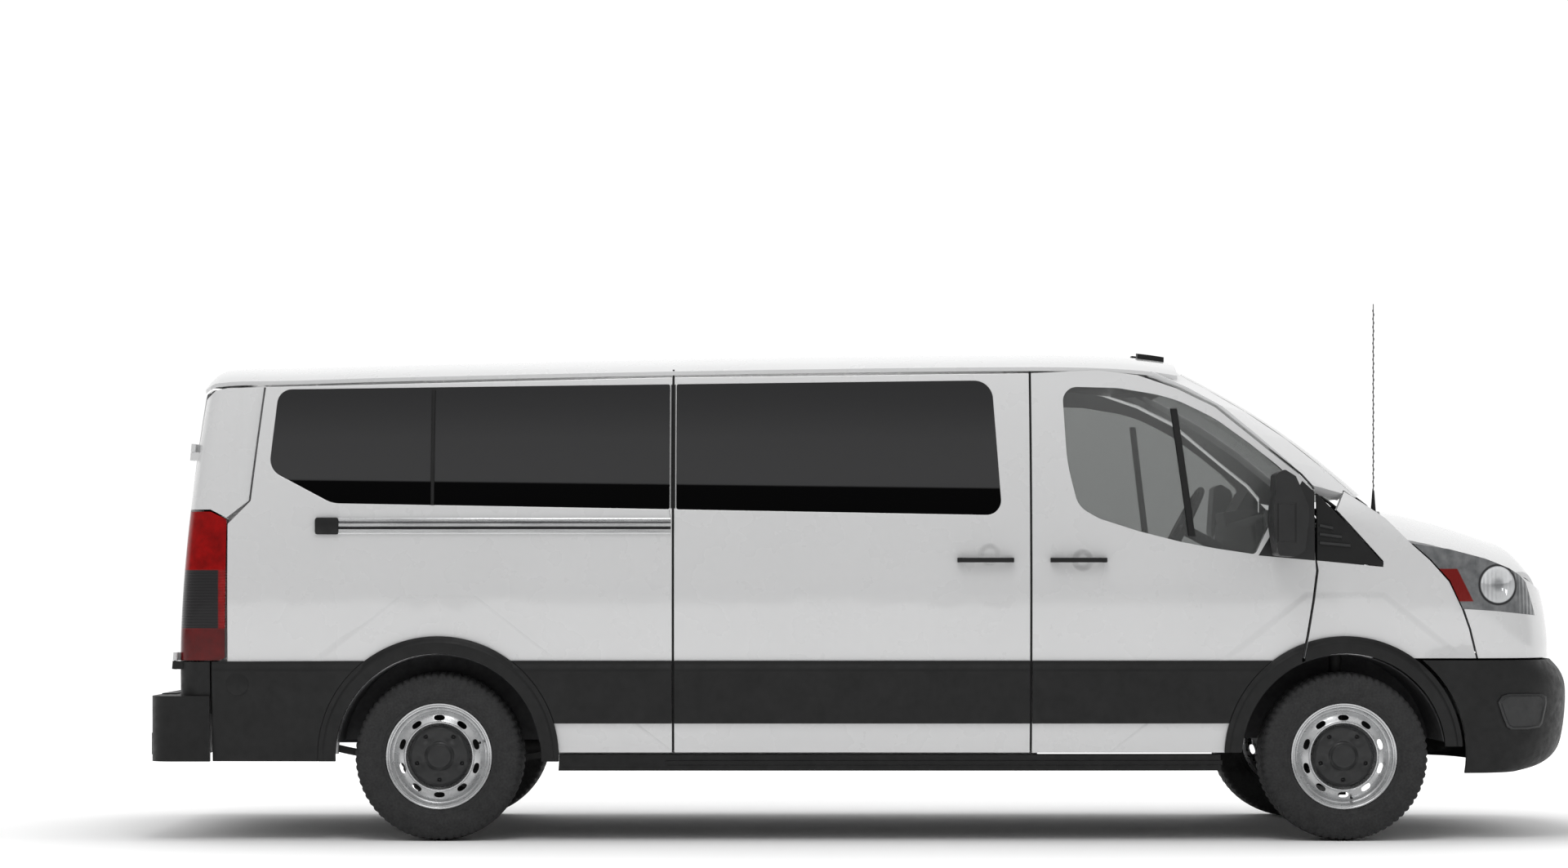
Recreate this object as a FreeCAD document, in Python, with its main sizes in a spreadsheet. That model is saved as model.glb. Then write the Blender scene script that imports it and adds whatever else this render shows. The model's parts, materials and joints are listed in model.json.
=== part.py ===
import FreeCAD
import Part
import math
import os
import types
from FreeCAD import Rotation, Vector

# Driving sizes in millimetres. X points forward, Y to the left and Z up.
# The origin lies on the ground at the middle of the van's length.
SIZES = (
    # overall
    ("wheelbase", 3750), ("front_overhang", 1023), ("rear_overhang", 1208), ("half_width", 1030),
    ("widest_height", 1020), ("gutter_height", 1965), ("tumblehome", 110), ("sill_tuck", 38),
    ("front_taper", 70), ("rear_taper", 30), ("roof_crown", 34), ("roof_edge_drop", 53),
    ("roof_fall_rear", 57), ("roof_fall_front", 34), ("roof_thickness", 16),
    # side layout
    ("door_reach", 1300), ("door_length", 1179), ("slider_length", 1479), ("corner_reach", 480),
    ("sill_bottom", 292), ("rocker_bottom", 367), ("cladding_bottom", 488), ("cladding_top", 748),
    ("belt_height", 1373), ("glass_top", 1893), ("seam", 9), ("seat_gap", 0.3),
    ("wall", 60), ("door_wall", 50), ("frame_depth", 36), ("glass_thickness", 4.5),
    ("arch_radius", 440), ("flare_width", 74), ("flare_stand", 16), ("liner_radius", 424),
    ("liner_thickness", 4), ("cladding_stand", 12),
    # front end
    ("bonnet_length", 715), ("bonnet_thickness", 22), ("bonnet_half_width", 850),
    ("cowl_height", 1372), ("nose_height", 1184), ("nose_wrap", 640), ("nose_roundness", 3.6),
    ("bumper_top", 748), ("bumper_bottom", 279), ("bumper_wall", 34), ("lamp_depth", 120),
    ("pillar_depth", 46), ("screen_bulge", 120), ("screen_crown", 34), ("screen_half_width", 850),
    # rear end
    ("rear_lean", 121), ("rear_bow", 41), ("rear_corner_radius", 95), ("rear_door_top", 1896),
    ("rear_door_bottom", 700), ("rear_door_half", 893), ("rear_door_wall", 48), ("rear_set", 128),
    ("step_height", 601), ("rear_bumper_bottom", 330),
    # wheels and steering
    ("track", 1730), ("tyre_radius", 350), ("tyre_width", 235), ("rim_radius", 206),
    ("flange_radius", 220), ("hub_radius", 84), ("spindle_radius", 32), ("bearing_gap", 0.08),
    ("knuckle_height", 215), ("knuckle_half", 830), ("strut_top", 950), ("strut_top_half", 690),
    ("strut_radius", 27), ("hand_hole_circle", 160), ("hand_hole_radius", 13),
    # inside and below
    ("floor_height", 660), ("floor_thickness", 40), ("floor_half_width", 930),
    ("rail_half", 430), ("rail_width", 70), ("rail_depth", 110), ("engine_length", 680),
    ("engine_width", 560), ("engine_height", 620), ("tank_length", 900), ("tank_width", 380),
    ("tank_height", 230), ("axle_tube", 45), ("spring_half", 560), ("spring_width", 70),
    ("seat_width", 430), ("seat_depth", 500), ("seat_height", 430), ("seat_back", 700),
    ("cushion", 110), ("wheel_rim_radius", 190), ("wheel_rim_tube", 15),
    ("hinge_pin", 5), ("hinge_barrel", 10), ("hinge_length", 34), ("running_gap", 0.08),
    ("plate_width", 310), ("plate_height", 155), ("plate_low", 510), ("plate_holes_across", 178),
    ("plate_holes_up", 121), ("plate_hole_radius", 3.2),
    ("aerial_height", 922), ("hinge_set", 18), ("swing_gap", 11), ("rear_hinge_reach", 40),
)

OVERRUN = 200

doc = FreeCAD.newDocument("minibus")
sheet = doc.addObject("Spreadsheet::Sheet", "sizes")
for row, (alias, value) in enumerate(SIZES, start=1):
    sheet.set("A%d" % row, alias)
    sheet.set("B%d" % row, str(value))
    sheet.setAlias("B%d" % row, alias)
doc.recompute()
s = types.SimpleNamespace(**{alias: float(sheet.get(alias)) for alias, value in SIZES})

# Places that follow from the driving sizes.
LENGTH = s.wheelbase + s.front_overhang + s.rear_overhang
FRONT_TIP = LENGTH / 2
REAR_TIP = -LENGTH / 2
FRONT_AXLE = FRONT_TIP - s.front_overhang
REAR_AXLE = REAR_TIP + s.rear_overhang
DOOR_REAR = FRONT_AXLE - s.door_reach
DOOR_FRONT = DOOR_REAR + s.door_length
SLIDER_REAR = DOOR_REAR - s.slider_length
CORNER_SEAM = REAR_TIP + s.corner_reach
FRAME_OUT = s.wall + s.seat_gap
NOSE_START = FRONT_TIP - s.nose_wrap
ROOF_PEAK = DOOR_REAR
SIDES = (-1, 1)
SIDE_NAMES = {-1: "right", 1: "left"}

# The front axle's place as an expression for objects bound to the sheet.
FRONT_AXLE_EXPR = "(sizes.wheelbase + sizes.rear_overhang - sizes.front_overhang) / 2"


def bind(obj, values):
    """Tie properties of an object to the sheet."""
    for prop, expression in values.items():
        obj.setExpression(prop, expression)
    return obj


def primitive(kind, name, values, place=("0", "0", "0"), rotation=None):
    """A Part primitive whose sizes and place follow the sheet."""
    obj = doc.addObject(kind, name)
    if rotation is not None:
        obj.Placement = FreeCAD.Placement(Vector(), rotation)
    bind(obj, values)
    for axis, expression in zip("xyz", place):
        obj.setExpression("Placement.Base." + axis, expression)
    return obj


def box(name, size, centre):
    """A Part::Box by the expressions of its size and centre."""
    corner = ["(%s) - (%s) / 2" % (middle, extent) for middle, extent in zip(centre, size)]
    return primitive("Part::Box", name, dict(zip(("Length", "Width", "Height"), size)), corner)


def rod(name, radius, length, place, direction):
    """A Part::Cylinder that starts at a place and runs along a direction."""
    turn = Rotation(Vector(0, 0, 1), direction)
    return primitive("Part::Cylinder", name, {"Radius": radius, "Height": length}, place, turn)


def fuse(name, objects):
    """One node fused from several document objects."""
    obj = doc.addObject("Part::MultiFuse", name)
    obj.Shapes = objects
    return obj


def feature(name, shape):
    """A node whose shape is worked out by the code below from the sheet's sizes."""
    if shape.ShapeType == "Compound" and len(shape.Solids) == 1:
        shape = shape.Solids[0]
    obj = doc.addObject("Part::Feature", name)
    obj.Shape = shape
    obj.Placement = FreeCAD.Placement()
    return obj


# Surfaces of the body shell.
def side_reach(x, z):
    """Half width of the body at a station and a height."""
    if z > s.widest_height:
        tuck = s.tumblehome * ((z - s.widest_height) / (s.gutter_height - s.widest_height)) ** 2
    else:
        tuck = s.sill_tuck * ((s.widest_height - z) / (s.widest_height - s.rocker_bottom)) ** 2
    ahead = max(0, x - DOOR_REAR) / (NOSE_START - DOOR_REAR)
    behind = max(0, SLIDER_REAR - x) / (SLIDER_REAR - CORNER_SEAM)
    return s.half_width - tuck - s.front_taper * ahead ** 2 - s.rear_taper * behind ** 2


def roof_edge_half(x):
    return side_reach(x, s.gutter_height)


def roof_line(x):
    """Height of the roof's centre line."""
    height = s.gutter_height + s.roof_crown + s.roof_edge_drop
    if x < ROOF_PEAK:
        return height - s.roof_fall_rear * ((ROOF_PEAK - x) / (ROOF_PEAK - CORNER_SEAM)) ** 1.5
    reach = s.door_length / 2
    return height - s.roof_fall_front * ((x - ROOF_PEAK) / reach) ** 3


def roof_height(x, y):
    share = abs(y) / roof_edge_half(x)
    return roof_line(x) - s.roof_crown * share ** 2 - s.roof_edge_drop * share ** 8


def roof_edge(x):
    """Height of the side panels' upper edge, under the roof skin."""
    return roof_height(x, roof_edge_half(x)) - roof_sink(x) - s.roof_thickness - s.seam


def rear_face(y, z):
    """Station of the rear doors' outer skin."""
    rise = max(0, z - s.bumper_top) / (s.gutter_height - s.bumper_top)
    set_back = s.rear_lean * rise ** 1.6
    return REAR_TIP + s.rear_set - s.rear_bow + set_back + s.rear_bow * (y / s.rear_door_half) ** 2


def spaced(start, end, count):
    return [start + (end - start) * index / (count - 1) for index in range(count)]


def skin(grid):
    """A smooth face through a grid of points."""
    surface = Part.BSplineSurface()
    surface.interpolate(grid)
    return surface.toShape()


SLABS = {}
FENDER_SLABS = {}


def side_slab(side, thickness, offset=0):
    """The whole body side at an offset. Every panel is trimmed from it, so their surfaces agree."""
    key = (side, thickness, offset)
    if key not in SLABS:
        grid = []
        for x in spaced(REAR_TIP, FRONT_AXLE + s.arch_radius * 1.5, 15):
            heights = spaced(s.sill_bottom - s.wall, s.gutter_height + s.wall, 13)
            grid.append([Vector(x, side * (side_reach(x, z) + offset), z) for z in heights])
        SLABS[key] = skin(grid).extrude(Vector(0, -side * thickness, 0))
    return SLABS[key]


# Outlines with rounded corners.
def on_side(u, v, w):
    return Vector(u, w, v)


def on_top(u, v, w):
    return Vector(u, v, w)


def on_rear(u, v, w):
    return Vector(w, u, v)


DIRECTIONS = {on_side: Vector(0, 1, 0), on_top: Vector(0, 0, 1), on_rear: Vector(1, 0, 0)}


def outline(points, radii, plane, level=0):
    """A closed wire through points, with a tangent arc at each corner that has a radius."""
    count = len(points)
    corners = []
    for index, point in enumerate(points):
        here = plane(point[0], point[1], level)
        back = plane(points[index - 1][0], points[index - 1][1], level) - here
        ahead_point = points[(index + 1) % count]
        ahead = plane(ahead_point[0], ahead_point[1], level) - here
        radius = radii[index] if isinstance(radii, (list, tuple)) else radii
        half = back.getAngle(ahead) / 2
        if radius <= 0 or half > math.radians(88):
            corners.append((here, here, here))
            continue
        trim = min(radius / math.tan(half), back.Length * 0.45, ahead.Length * 0.45)
        radius = trim * math.tan(half)
        back.normalize()
        ahead.normalize()
        middle = back + ahead
        middle.normalize()
        centre = here + middle * (radius / math.sin(half))
        corners.append((here + back * trim, centre - middle * radius, here + ahead * trim))
    edges = []
    for index, (start, crest, end) in enumerate(corners):
        if (end - start).Length > 0:
            edges.append(Part.Arc(start, crest, end).toShape())
        following = corners[(index + 1) % count][0]
        edges.append(Part.LineSegment(end, following).toShape())
    return Part.Wire(edges)


def prism(points, radii, plane, start, end, inset=0):
    """An outline pushed from one level to another."""
    face = Part.Face(outline(points, radii, plane, start))
    if inset:
        face = Part.Face(face.makeOffset2D(-inset).Wires)
    return face.extrude(DIRECTIONS[plane] * (end - start))


def side_prism(side, points, radii, inset=0):
    """A cutter for one side of the body, from inside the wall to outside it."""
    inner = side * s.half_width / 2
    outer = side * (s.half_width + OVERRUN)
    return prism(points, radii, on_side, inner, outer, inset)


def arch_cylinder(side, axle, radius):
    """The round of a wheel arch, from inside the wall to outside it."""
    start = Vector(axle, side * s.half_width / 2, s.tyre_radius)
    return Part.makeCylinder(radius, s.half_width / 2 + OVERRUN, start, Vector(0, side, 0))


def bounds(points):
    return (min(p[0] for p in points), max(p[0] for p in points),
            min(p[1] for p in points), max(p[1] for p in points))


def side_panel(side, points, radii, thickness, offset=0, inset=0):
    """A body-side panel with a given outline."""
    return side_slab(side, thickness, offset).common(side_prism(side, points, radii, inset))


# Outlines of the body side, in stations and heights.
def glass_top_at(x):
    return s.glass_top + (x - SLIDER_REAR) * 0.0125


def belt_at(x):
    return s.belt_height - (x - SLIDER_REAR) * 0.018


def slider_points():
    """Sliding door, between its two seams."""
    rear = SLIDER_REAR + s.seam / 2
    front = DOOR_REAR - s.seam / 2
    return [(rear, s.rocker_bottom), (rear, roof_edge(rear)), (front, roof_edge(front)),
            (front, s.rocker_bottom)]


def slider_window():
    rear = SLIDER_REAR + s.seam / 2 + s.seam
    front = DOOR_REAR - s.door_wall * 3.2
    lower_front = front + s.door_wall * 0.8
    points = [(rear, glass_top_at(rear)), (front, glass_top_at(front)),
              (lower_front, belt_at(lower_front)), (rear, belt_at(rear))]
    return points, (s.seam, s.wall * 1.3, s.wall, s.seam)


def quarter_window():
    """Rear side glass with its swept lower corner."""
    span = SLIDER_REAR - CORNER_SEAM
    front = SLIDER_REAR - s.seam * 1.5
    rear = SLIDER_REAR - span * 0.985
    sweep = SLIDER_REAR - span * 0.83
    top = rear + span * 0.02
    points = [(front, glass_top_at(front)), (top, glass_top_at(top)),
              (rear, s.belt_height + s.cushion * 1.5), (sweep, belt_at(sweep)),
              (front, belt_at(front))]
    return points, (s.seam, s.wall, s.wall * 1.3, s.wall * 2, s.seam)


def quarter_points():
    """Quarter panel, from the corner seam to the sliding door."""
    front = SLIDER_REAR - s.seam / 2
    rear = CORNER_SEAM + s.seam / 2
    lamp = LAMP_FRONT + s.seam / 2
    lamp_top = s.belt_height - s.wall
    return [(front, s.rocker_bottom), (front, roof_edge(front)), (rear, roof_edge(rear)),
            (rear - s.wall * 0.9, lamp_top + s.wall * 1.6), (lamp, lamp_top),
            (lamp, s.rocker_bottom)]


# The front door: its box runs from its rear seam to its front seam and from rocker to gutter.
DOOR_TOP_SHARES = ((0.24, 0.998), (0.378, 0.985), (0.515, 0.95), (0.651, 0.9), (0.852, 0.778),
                   (0.947, 0.722), (0.99, 0.686))
DOOR_NOSE_SHARES = ((0.997, 0.5), (1.0, 0.474), (0.986, 0.393), (0.966, 0.303), (0.95, 0.247))
DOOR_WINDOW_SHARES = ((0.112, 0.955), (0.31, 0.951), (0.446, 0.934), (0.525, 0.917), (0.65, 0.871),
                      (0.77, 0.806), (0.868, 0.748), (0.916, 0.714), (0.786, 0.516), (0.65, 0.531),
                      (0.526, 0.548), (0.377, 0.576), (0.238, 0.609), (0.165, 0.64), (0.127, 0.755))
DOOR_WINDOW_ROUNDS = (60, 200, 300, 400, 500, 600, 500, 20, 20, 500, 600, 500, 150, 110, 700)
SAIL_SHARES = ((0.954, 0.708), (0.995, 0.679), (1.127, 0.583), (1.235, 0.496), (1.235, 0.486),
               (1.0, 0.5), (0.797, 0.513))


def door_box(shares):
    height = s.gutter_height - s.seam - s.rocker_bottom
    return [(DOOR_REAR + s.door_length * u, s.rocker_bottom + height * v) for u, v in shares]


def door_points():
    rear = DOOR_REAR + s.seam / 2
    top = door_box(DOOR_TOP_SHARES)
    nose = door_box(DOOR_NOSE_SHARES)
    low_front = (nose[-1][0], s.rocker_bottom)
    return [(rear, s.rocker_bottom), (rear, roof_edge(rear))] + top + nose + [low_front]


def sail_points(front_part):
    """Black triangle at the mirror, split by the door's front seam."""
    points = door_box(SAIL_SHARES)
    seam_x = DOOR_FRONT
    half = s.seam / 2
    low = points[5][1]
    high = points[1][1]
    if front_part:
        start = seam_x + half
        return [(start, high - half), points[2], points[3], points[4], (start, low)]
    end = seam_x - half
    return [points[0], (end, high), (end, low), points[6]]


# The tail lamp and the corner panel share this seam.
LAMP_FRONT = CORNER_SEAM - 149 / 480 * s.corner_reach
LAMP_TOP_SHARES = ((0.0, 0.93), (0.02, 0.95), (0.5, 1.0), (1.6, 1.0))
LAMP_BASE_SHARES = ((1.6, 0.0), (0.2, 0.0), (0.05, 0.02))


def lamp_points():
    height = s.belt_height - s.seam - s.bumper_top
    depth = s.rear_corner_radius * 1.4
    shares = LAMP_TOP_SHARES + LAMP_BASE_SHARES
    return [(LAMP_FRONT - depth * u, s.bumper_top + height * v) for u, v in shares]


def rear_edge_half(z):
    """Half width of the rear doors' opening at a height."""
    back = rear_face(s.rear_door_half, z) + s.rear_corner_radius
    return side_reach(back, z) - s.rear_corner_radius


def corner_slab(side, z0, z1, thickness, offset=0):
    """Body corner, bent from the side round to the rear face."""
    grid = []
    for z in spaced(z0, z1, 8):
        back = rear_face(s.rear_door_half, z) - offset
        radius = s.rear_corner_radius
        bend_x = back + radius
        reach = side_reach(bend_x, z) + offset
        start = CORNER_SEAM + s.wall
        line = [Vector(x, side * (side_reach(x, z) + offset), z) for x in spaced(start, bend_x, 5)]
        for angle in spaced(0, math.pi / 2, 7)[1:]:
            line.append(Vector(bend_x - radius * math.sin(angle),
                               side * (reach - radius + radius * math.cos(angle)), z))
        grid.append(line)
    slab = skin(grid).extrude(Vector(thickness, -side * thickness, 0))
    return slab.cut(prism(rear_door_points(side), 0, on_rear, REAR_TIP - OVERRUN, CORNER_SEAM, -s.seam))


def corner_panel(side):
    """Upper rear corner, down to the tail lamp."""
    z1 = roof_edge(CORNER_SEAM)
    front = CORNER_SEAM - s.seam / 2
    back = REAR_TIP - OVERRUN
    lamp = lamp_points()
    top = [(x, roof_edge(x)) for x in spaced(front, roof_rear() + s.seam, 6)]
    points = top + [(back, top[-1][1]), (back, lamp[3][1] + s.seam), (lamp[2][0], lamp[2][1] + s.seam),
                    (lamp[0][0], lamp[0][1] + s.seam * 2), (front - s.wall * 0.9, s.belt_height + s.wall * 0.6)]
    slab = corner_slab(side, s.bumper_top, z1, s.wall * 0.95)
    panel = slab.common(side_prism(side, points, 0)).cut(roof_block(s.seam))
    return max(panel.Solids, key=lambda solid: solid.Volume)


def tail_lamp(side):
    slab = corner_slab(side, s.bumper_top - s.seam, s.belt_height + s.wall, s.wall * 0.95)
    return slab.common(side_prism(side, lamp_points(), 0))


# Front end, wrapped round from side to side.
# Heights between the bumper's lower edge and its top, and how far each lies behind the tip.
BUMPER_HEIGHT_SHARES = (0.0, 0.045, 0.1, 0.19, 0.33, 0.51, 0.68, 0.81, 0.95, 1.0)
BUMPER_SET_SHARES = (0.2, 0.12, 0.073, 0.035, 0.014, 0.003, 0.0, 0.007, 0.045, 0.068)
NOSE_HEIGHT_SHARES = (0.0, 0.27, 0.5, 0.72, 0.87, 1.0, 1.16)
NOSE_SET_SHARES = (0.078, 0.082, 0.098, 0.122, 0.15, 0.19, 0.25)


def wrap_curve(tip, half, z, inset=0):
    """Plan curve of the front at one height, from the right side to the left."""
    points = []
    power = 2 / s.nose_roundness
    for angle in spaced(-math.pi / 2, math.pi / 2, 17):
        u = math.cos(angle)
        v = math.sin(angle)
        x = NOSE_START + (tip - inset - NOSE_START) * max(0, u) ** power
        y = (half - inset) * math.copysign(abs(v) ** power, v)
        points.append(Vector(x, y, z))
    return points


def wrap_wire(tip, half, z, thickness, tail):
    """A closed plan wire: outer curve, inner curve and the two ends at the rear."""
    outer = wrap_curve(tip, half, z)
    inner = wrap_curve(tip, half, z, thickness)
    outer_line = [Vector(tail, -half, z)] + outer + [Vector(tail, half, z)]
    inner_line = [Vector(tail, -half + thickness, z)] + inner + [Vector(tail, half - thickness, z)]
    edges = []
    for line in (outer_line, inner_line):
        curve = Part.BSplineCurve()
        curve.interpolate(line)
        edges.append(curve.toShape())
    first = Part.LineSegment(outer_line[0], inner_line[0]).toShape()
    last = Part.LineSegment(outer_line[-1], inner_line[-1]).toShape()
    return Part.Wire([edges[0], last, edges[1], first])


def wrap_shell(heights, tips, halves, thickness, tail):
    wires = [wrap_wire(tip, half, z, thickness, tail) for z, tip, half in zip(heights, tips, halves)]
    return Part.makeLoft(wires, True, False)


def nose_stations():
    heights = [s.bumper_top + (s.nose_height - s.bumper_top) * share for share in NOSE_HEIGHT_SHARES]
    tips = [FRONT_TIP - s.front_overhang * share for share in NOSE_SET_SHARES]
    halves = [side_reach(NOSE_START, z) for z in heights]
    return heights, tips, halves


LAMP_OUTLINE_SHARES = ((0.0, 0.975), (0.28, 0.9), (0.57, 0.77), (0.77, 0.64), (0.86, 0.55), (0.92, 0.45),
                       (1.0, 0.0), (0.65, 0.06), (0.39, 0.09), (0.29, 0.47), (0.14, 0.76))


def headlamp_points():
    """Outline of the headlamp, seen from the side."""
    start = FRONT_AXLE + s.front_overhang * 0.279
    length = s.front_overhang * 0.52
    low = s.bumper_top + s.wall * 3.1
    height = s.wall * 5.1
    return [(start + length * u, low + height * v) for u, v in LAMP_OUTLINE_SHARES]


def headlamp_cutter(side, inset=0):
    start = side * s.half_width * 0.52
    return prism(headlamp_points(), 0, on_side, start, side * (s.half_width + OVERRUN), inset)


def nose_shell(thickness, tail):
    heights, tips, halves = nose_stations()
    return wrap_shell(heights, tips, halves, thickness, tail)


def nose_foot(side):
    """Foot of the nose panel that stands on the bumper's upper edge."""
    front = FRONT_TIP - s.front_overhang * NOSE_SET_SHARES[0] - s.seam / 2
    out = s.half_width * 0.3
    low = s.bumper_top + s.seat_gap
    return sided_box(side, front - s.seam, front, out, out + s.wall, low, s.bumper_top + s.seam * 2)


def nose_panel():
    """Body-coloured front with the openings for grille and lamps."""
    shell = nose_shell(s.bumper_wall, NOSE_START - s.seam)
    low = s.bumper_top + s.seam
    far = FRONT_TIP + OVERRUN
    lamp = headlamp_points()
    corner = bonnet_start() + s.bonnet_length * 0.94
    lip = bonnet_line(bonnet_start() + s.bonnet_length) - s.bonnet_thickness / 2
    sides = nose_seam(s.seam / 2) + [(far, low), (far, lip), (corner, lip), lamp[4], lamp[7]]
    shell = shell.common(prism(sides, 0, on_side, -s.half_width - OVERRUN, s.half_width + OVERRUN))
    for side in SIDES:
        shell = shell.cut(headlamp_cutter(side, -s.seat_gap))
    shell = shell.cut(grille_cutter(0)).cut(bonnet_zone())
    return shell.fuse([nose_foot(side) for side in SIDES])


def nose_seam(shift):
    """Seam between wing and nose, from the lamp's corner down to the bumper."""
    lamp = headlamp_points()[8]
    run = s.front_overhang * 0.058
    foot = s.bumper_top + s.seam
    middle = (lamp[1] + foot) / 2 + s.seam * 2
    return [(lamp[0] + shift, lamp[1]), (lamp[0] + run * 0.5 + shift, middle), (lamp[0] + run + shift, foot)]


def grille_points():
    half = s.half_width * 0.5
    low = s.bumper_top + s.seam * 2.5
    high = s.bumper_top + s.wall * 4.3
    return [(-half, low + s.wall), (-half * 0.8, low), (half * 0.8, low), (half, low + s.wall),
            (half * 1.08, high - s.wall * 1.1), (half * 0.98, high), (-half * 0.98, high),
            (-half * 1.08, high - s.wall * 1.1)]


def grille_cutter(inset):
    return prism(grille_points(), s.seam, on_rear, NOSE_START, FRONT_TIP + OVERRUN, inset)


def grille():
    """Black grille: a frame and slats that follow the nose's curve."""
    frame_ring = grille_cutter(s.seat_gap).cut(grille_cutter(s.seat_gap + s.seam * 2.5))
    slats = []
    z0 = s.bumper_top
    for index in range(1, 5):
        z = z0 + index * s.wall
        bar = Part.makeBox(s.nose_wrap + OVERRUN, s.half_width * 1.02, s.seam * 1.8,
                           Vector(NOSE_START, -s.half_width * 0.51, z))
        slats.append(bar)
    for share in (-0.3, 0, 0.3):
        post = Part.makeBox(s.nose_wrap + OVERRUN, s.seam, s.wall * 5,
                            Vector(NOSE_START, s.half_width * share - s.seam / 2, z0))
        slats.append(post)
    pattern = frame_ring.fuse(slats).common(grille_cutter(s.seat_gap))
    return nose_shell(s.bumper_wall, NOSE_START - s.seam).common(pattern)


def headlamp(side):
    shell = nose_shell(s.lamp_depth, NOSE_START - s.wall * 2)
    lamp = shell.common(headlamp_cutter(side)).cut(grille_cutter(-s.seam))
    return lamp.cut(bonnet_zone())


def bumper_stations():
    span = s.bumper_top - s.bumper_bottom
    heights = [s.bumper_bottom + span * share for share in BUMPER_HEIGHT_SHARES]
    tips = [FRONT_TIP - s.front_overhang * share for share in BUMPER_SET_SHARES]
    halves = [side_reach(NOSE_START, z) + s.cladding_stand for z in heights]
    return heights, tips, halves


def rail_front():
    """Front end of the chassis rails."""
    return FRONT_TIP - s.rear_set * 1.6


def rail_top():
    """Top of the chassis rails, just under the floor."""
    return s.floor_height - s.floor_thickness - s.seat_gap


def front_bumper():
    """Black lower bumper with its air intake and the pad for a number plate."""
    heights, tips, halves = bumper_stations()
    shell = wrap_shell(heights, tips, halves, s.bumper_wall, FRONT_AXLE + s.arch_radius * 0.72)
    for side in SIDES:
        shell = shell.cut(arch_cylinder(side, FRONT_AXLE, s.arch_radius + s.flare_width))
    half = s.half_width * 0.42
    low = s.bumper_bottom + s.wall * 0.9
    intake = [(-half, low), (half, low), (half * 0.9, low + s.wall * 1.9), (-half * 0.9, low + s.wall * 1.9)]
    mouth = prism(intake, s.seam * 2, on_rear, NOSE_START, FRONT_TIP + OVERRUN)
    bar = Part.makeBox(s.nose_wrap + OVERRUN, half * 2, s.seam * 1.4, Vector(NOSE_START, -half, low + s.wall * 0.9))
    shell = shell.cut(mouth.cut(bar))
    pad = Part.makeBox(s.bumper_wall, s.plate_width, s.plate_height,
                       Vector(FRONT_TIP - s.bumper_wall - s.seat_gap, -s.plate_width / 2, s.plate_low))
    start = rail_front() + s.seat_gap
    boxes = [Part.makeBox(FRONT_TIP - s.bumper_wall * 0.8 - start, s.rail_width, s.rail_depth,
                          Vector(start, side * s.rail_half - s.rail_width / 2, rail_top() - s.rail_depth)) for side in SIDES]
    shell = shell.fuse([pad] + boxes)
    centre = s.plate_low + s.plate_height / 2
    for y in (-s.plate_holes_across / 2, s.plate_holes_across / 2):
        for z in (centre - s.plate_holes_up / 2, centre + s.plate_holes_up / 2):
            start = Vector(FRONT_TIP - OVERRUN / 2, y, z)
            shell = shell.cut(Part.makeCylinder(s.plate_hole_radius, OVERRUN, start, Vector(1, 0, 0)))
    return shell


def fender_points():
    """Front wing between the door seam, the bonnet and the nose."""
    gap = s.swing_gap
    lamp = headlamp_points()
    sail = sail_points(True)
    half = s.seam / 2
    back = [(x + gap, z) for x, z in reversed(door_box(DOOR_NOSE_SHARES[1:]))]
    top = [(sail[0][0], sail[4][1] - s.seat_gap), (sail[3][0] + half, sail[3][1] - half),
           (sail[2][0] + half, sail[2][1] + half), (sail[1][0] - s.wall, sail[1][1] + s.wall * 1.3),
           (sail[1][0] - s.wall * 0.3, s.cowl_height + s.wall * 1.3)]
    over = [(FRONT_AXLE + s.wall * 2.9, s.cowl_height - s.wall * 0.6), (lamp[0][0] - s.seam, lamp[0][1])]
    front = [(lamp[10][0] - half, lamp[10][1] - half), (lamp[9][0] - half, lamp[9][1] - half)]
    low = [(FRONT_AXLE, s.bumper_top + s.seam), (back[0][0], s.bumper_top + s.seam)]
    return back + top + over + front + nose_seam(-half) + low


def fender_slab(side, thickness):
    """The wing's skin, rolled inward towards the bonnet."""
    if (side, thickness) in FENDER_SLABS:
        return FENDER_SLABS[side, thickness]
    grid = []
    x0 = DOOR_FRONT - s.wall
    x1 = NOSE_START + s.wall * 4
    for x in spaced(x0, x1, 8):
        roll_start = s.cowl_height - s.wall - (x - x0) / (x1 - x0) * s.wall * 3
        line = []
        for z in spaced(s.bumper_top - s.wall, s.cowl_height + s.wall * 2, 9):
            roll = max(0, z - roll_start) / (s.wall * 3)
            line.append(Vector(x, side * (side_reach(min(x, NOSE_START + s.wall), z) - s.wall * roll ** 2), z))
        grid.append(line)
    FENDER_SLABS[side, thickness] = skin(grid).extrude(Vector(0, -side * thickness, 0))
    return FENDER_SLABS[side, thickness]


def fender_lip(side):
    """Return lip of the wheel arch, seated on the liner above the wheel."""
    outer = side_reach(FRONT_AXLE, s.tyre_radius + s.arch_radius) - s.wall * 0.5
    start = Vector(FRONT_AXLE, side * (outer - s.wall * 0.3), s.tyre_radius)
    ring = Part.makeCylinder(s.arch_radius + s.seam, s.wall * 0.3, start, Vector(0, side, 0))
    ring = ring.cut(Part.makeCylinder(s.liner_radius + s.seat_gap, s.wall * 0.3, start, Vector(0, side, 0)))
    top = s.tyre_radius + s.arch_radius * 0.93
    half = s.arch_radius
    rear = fender_points()[0][0]
    return ring.common(sided_box(side, rear, FRONT_AXLE + half, 0, s.half_width, top, top + half))


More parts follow.
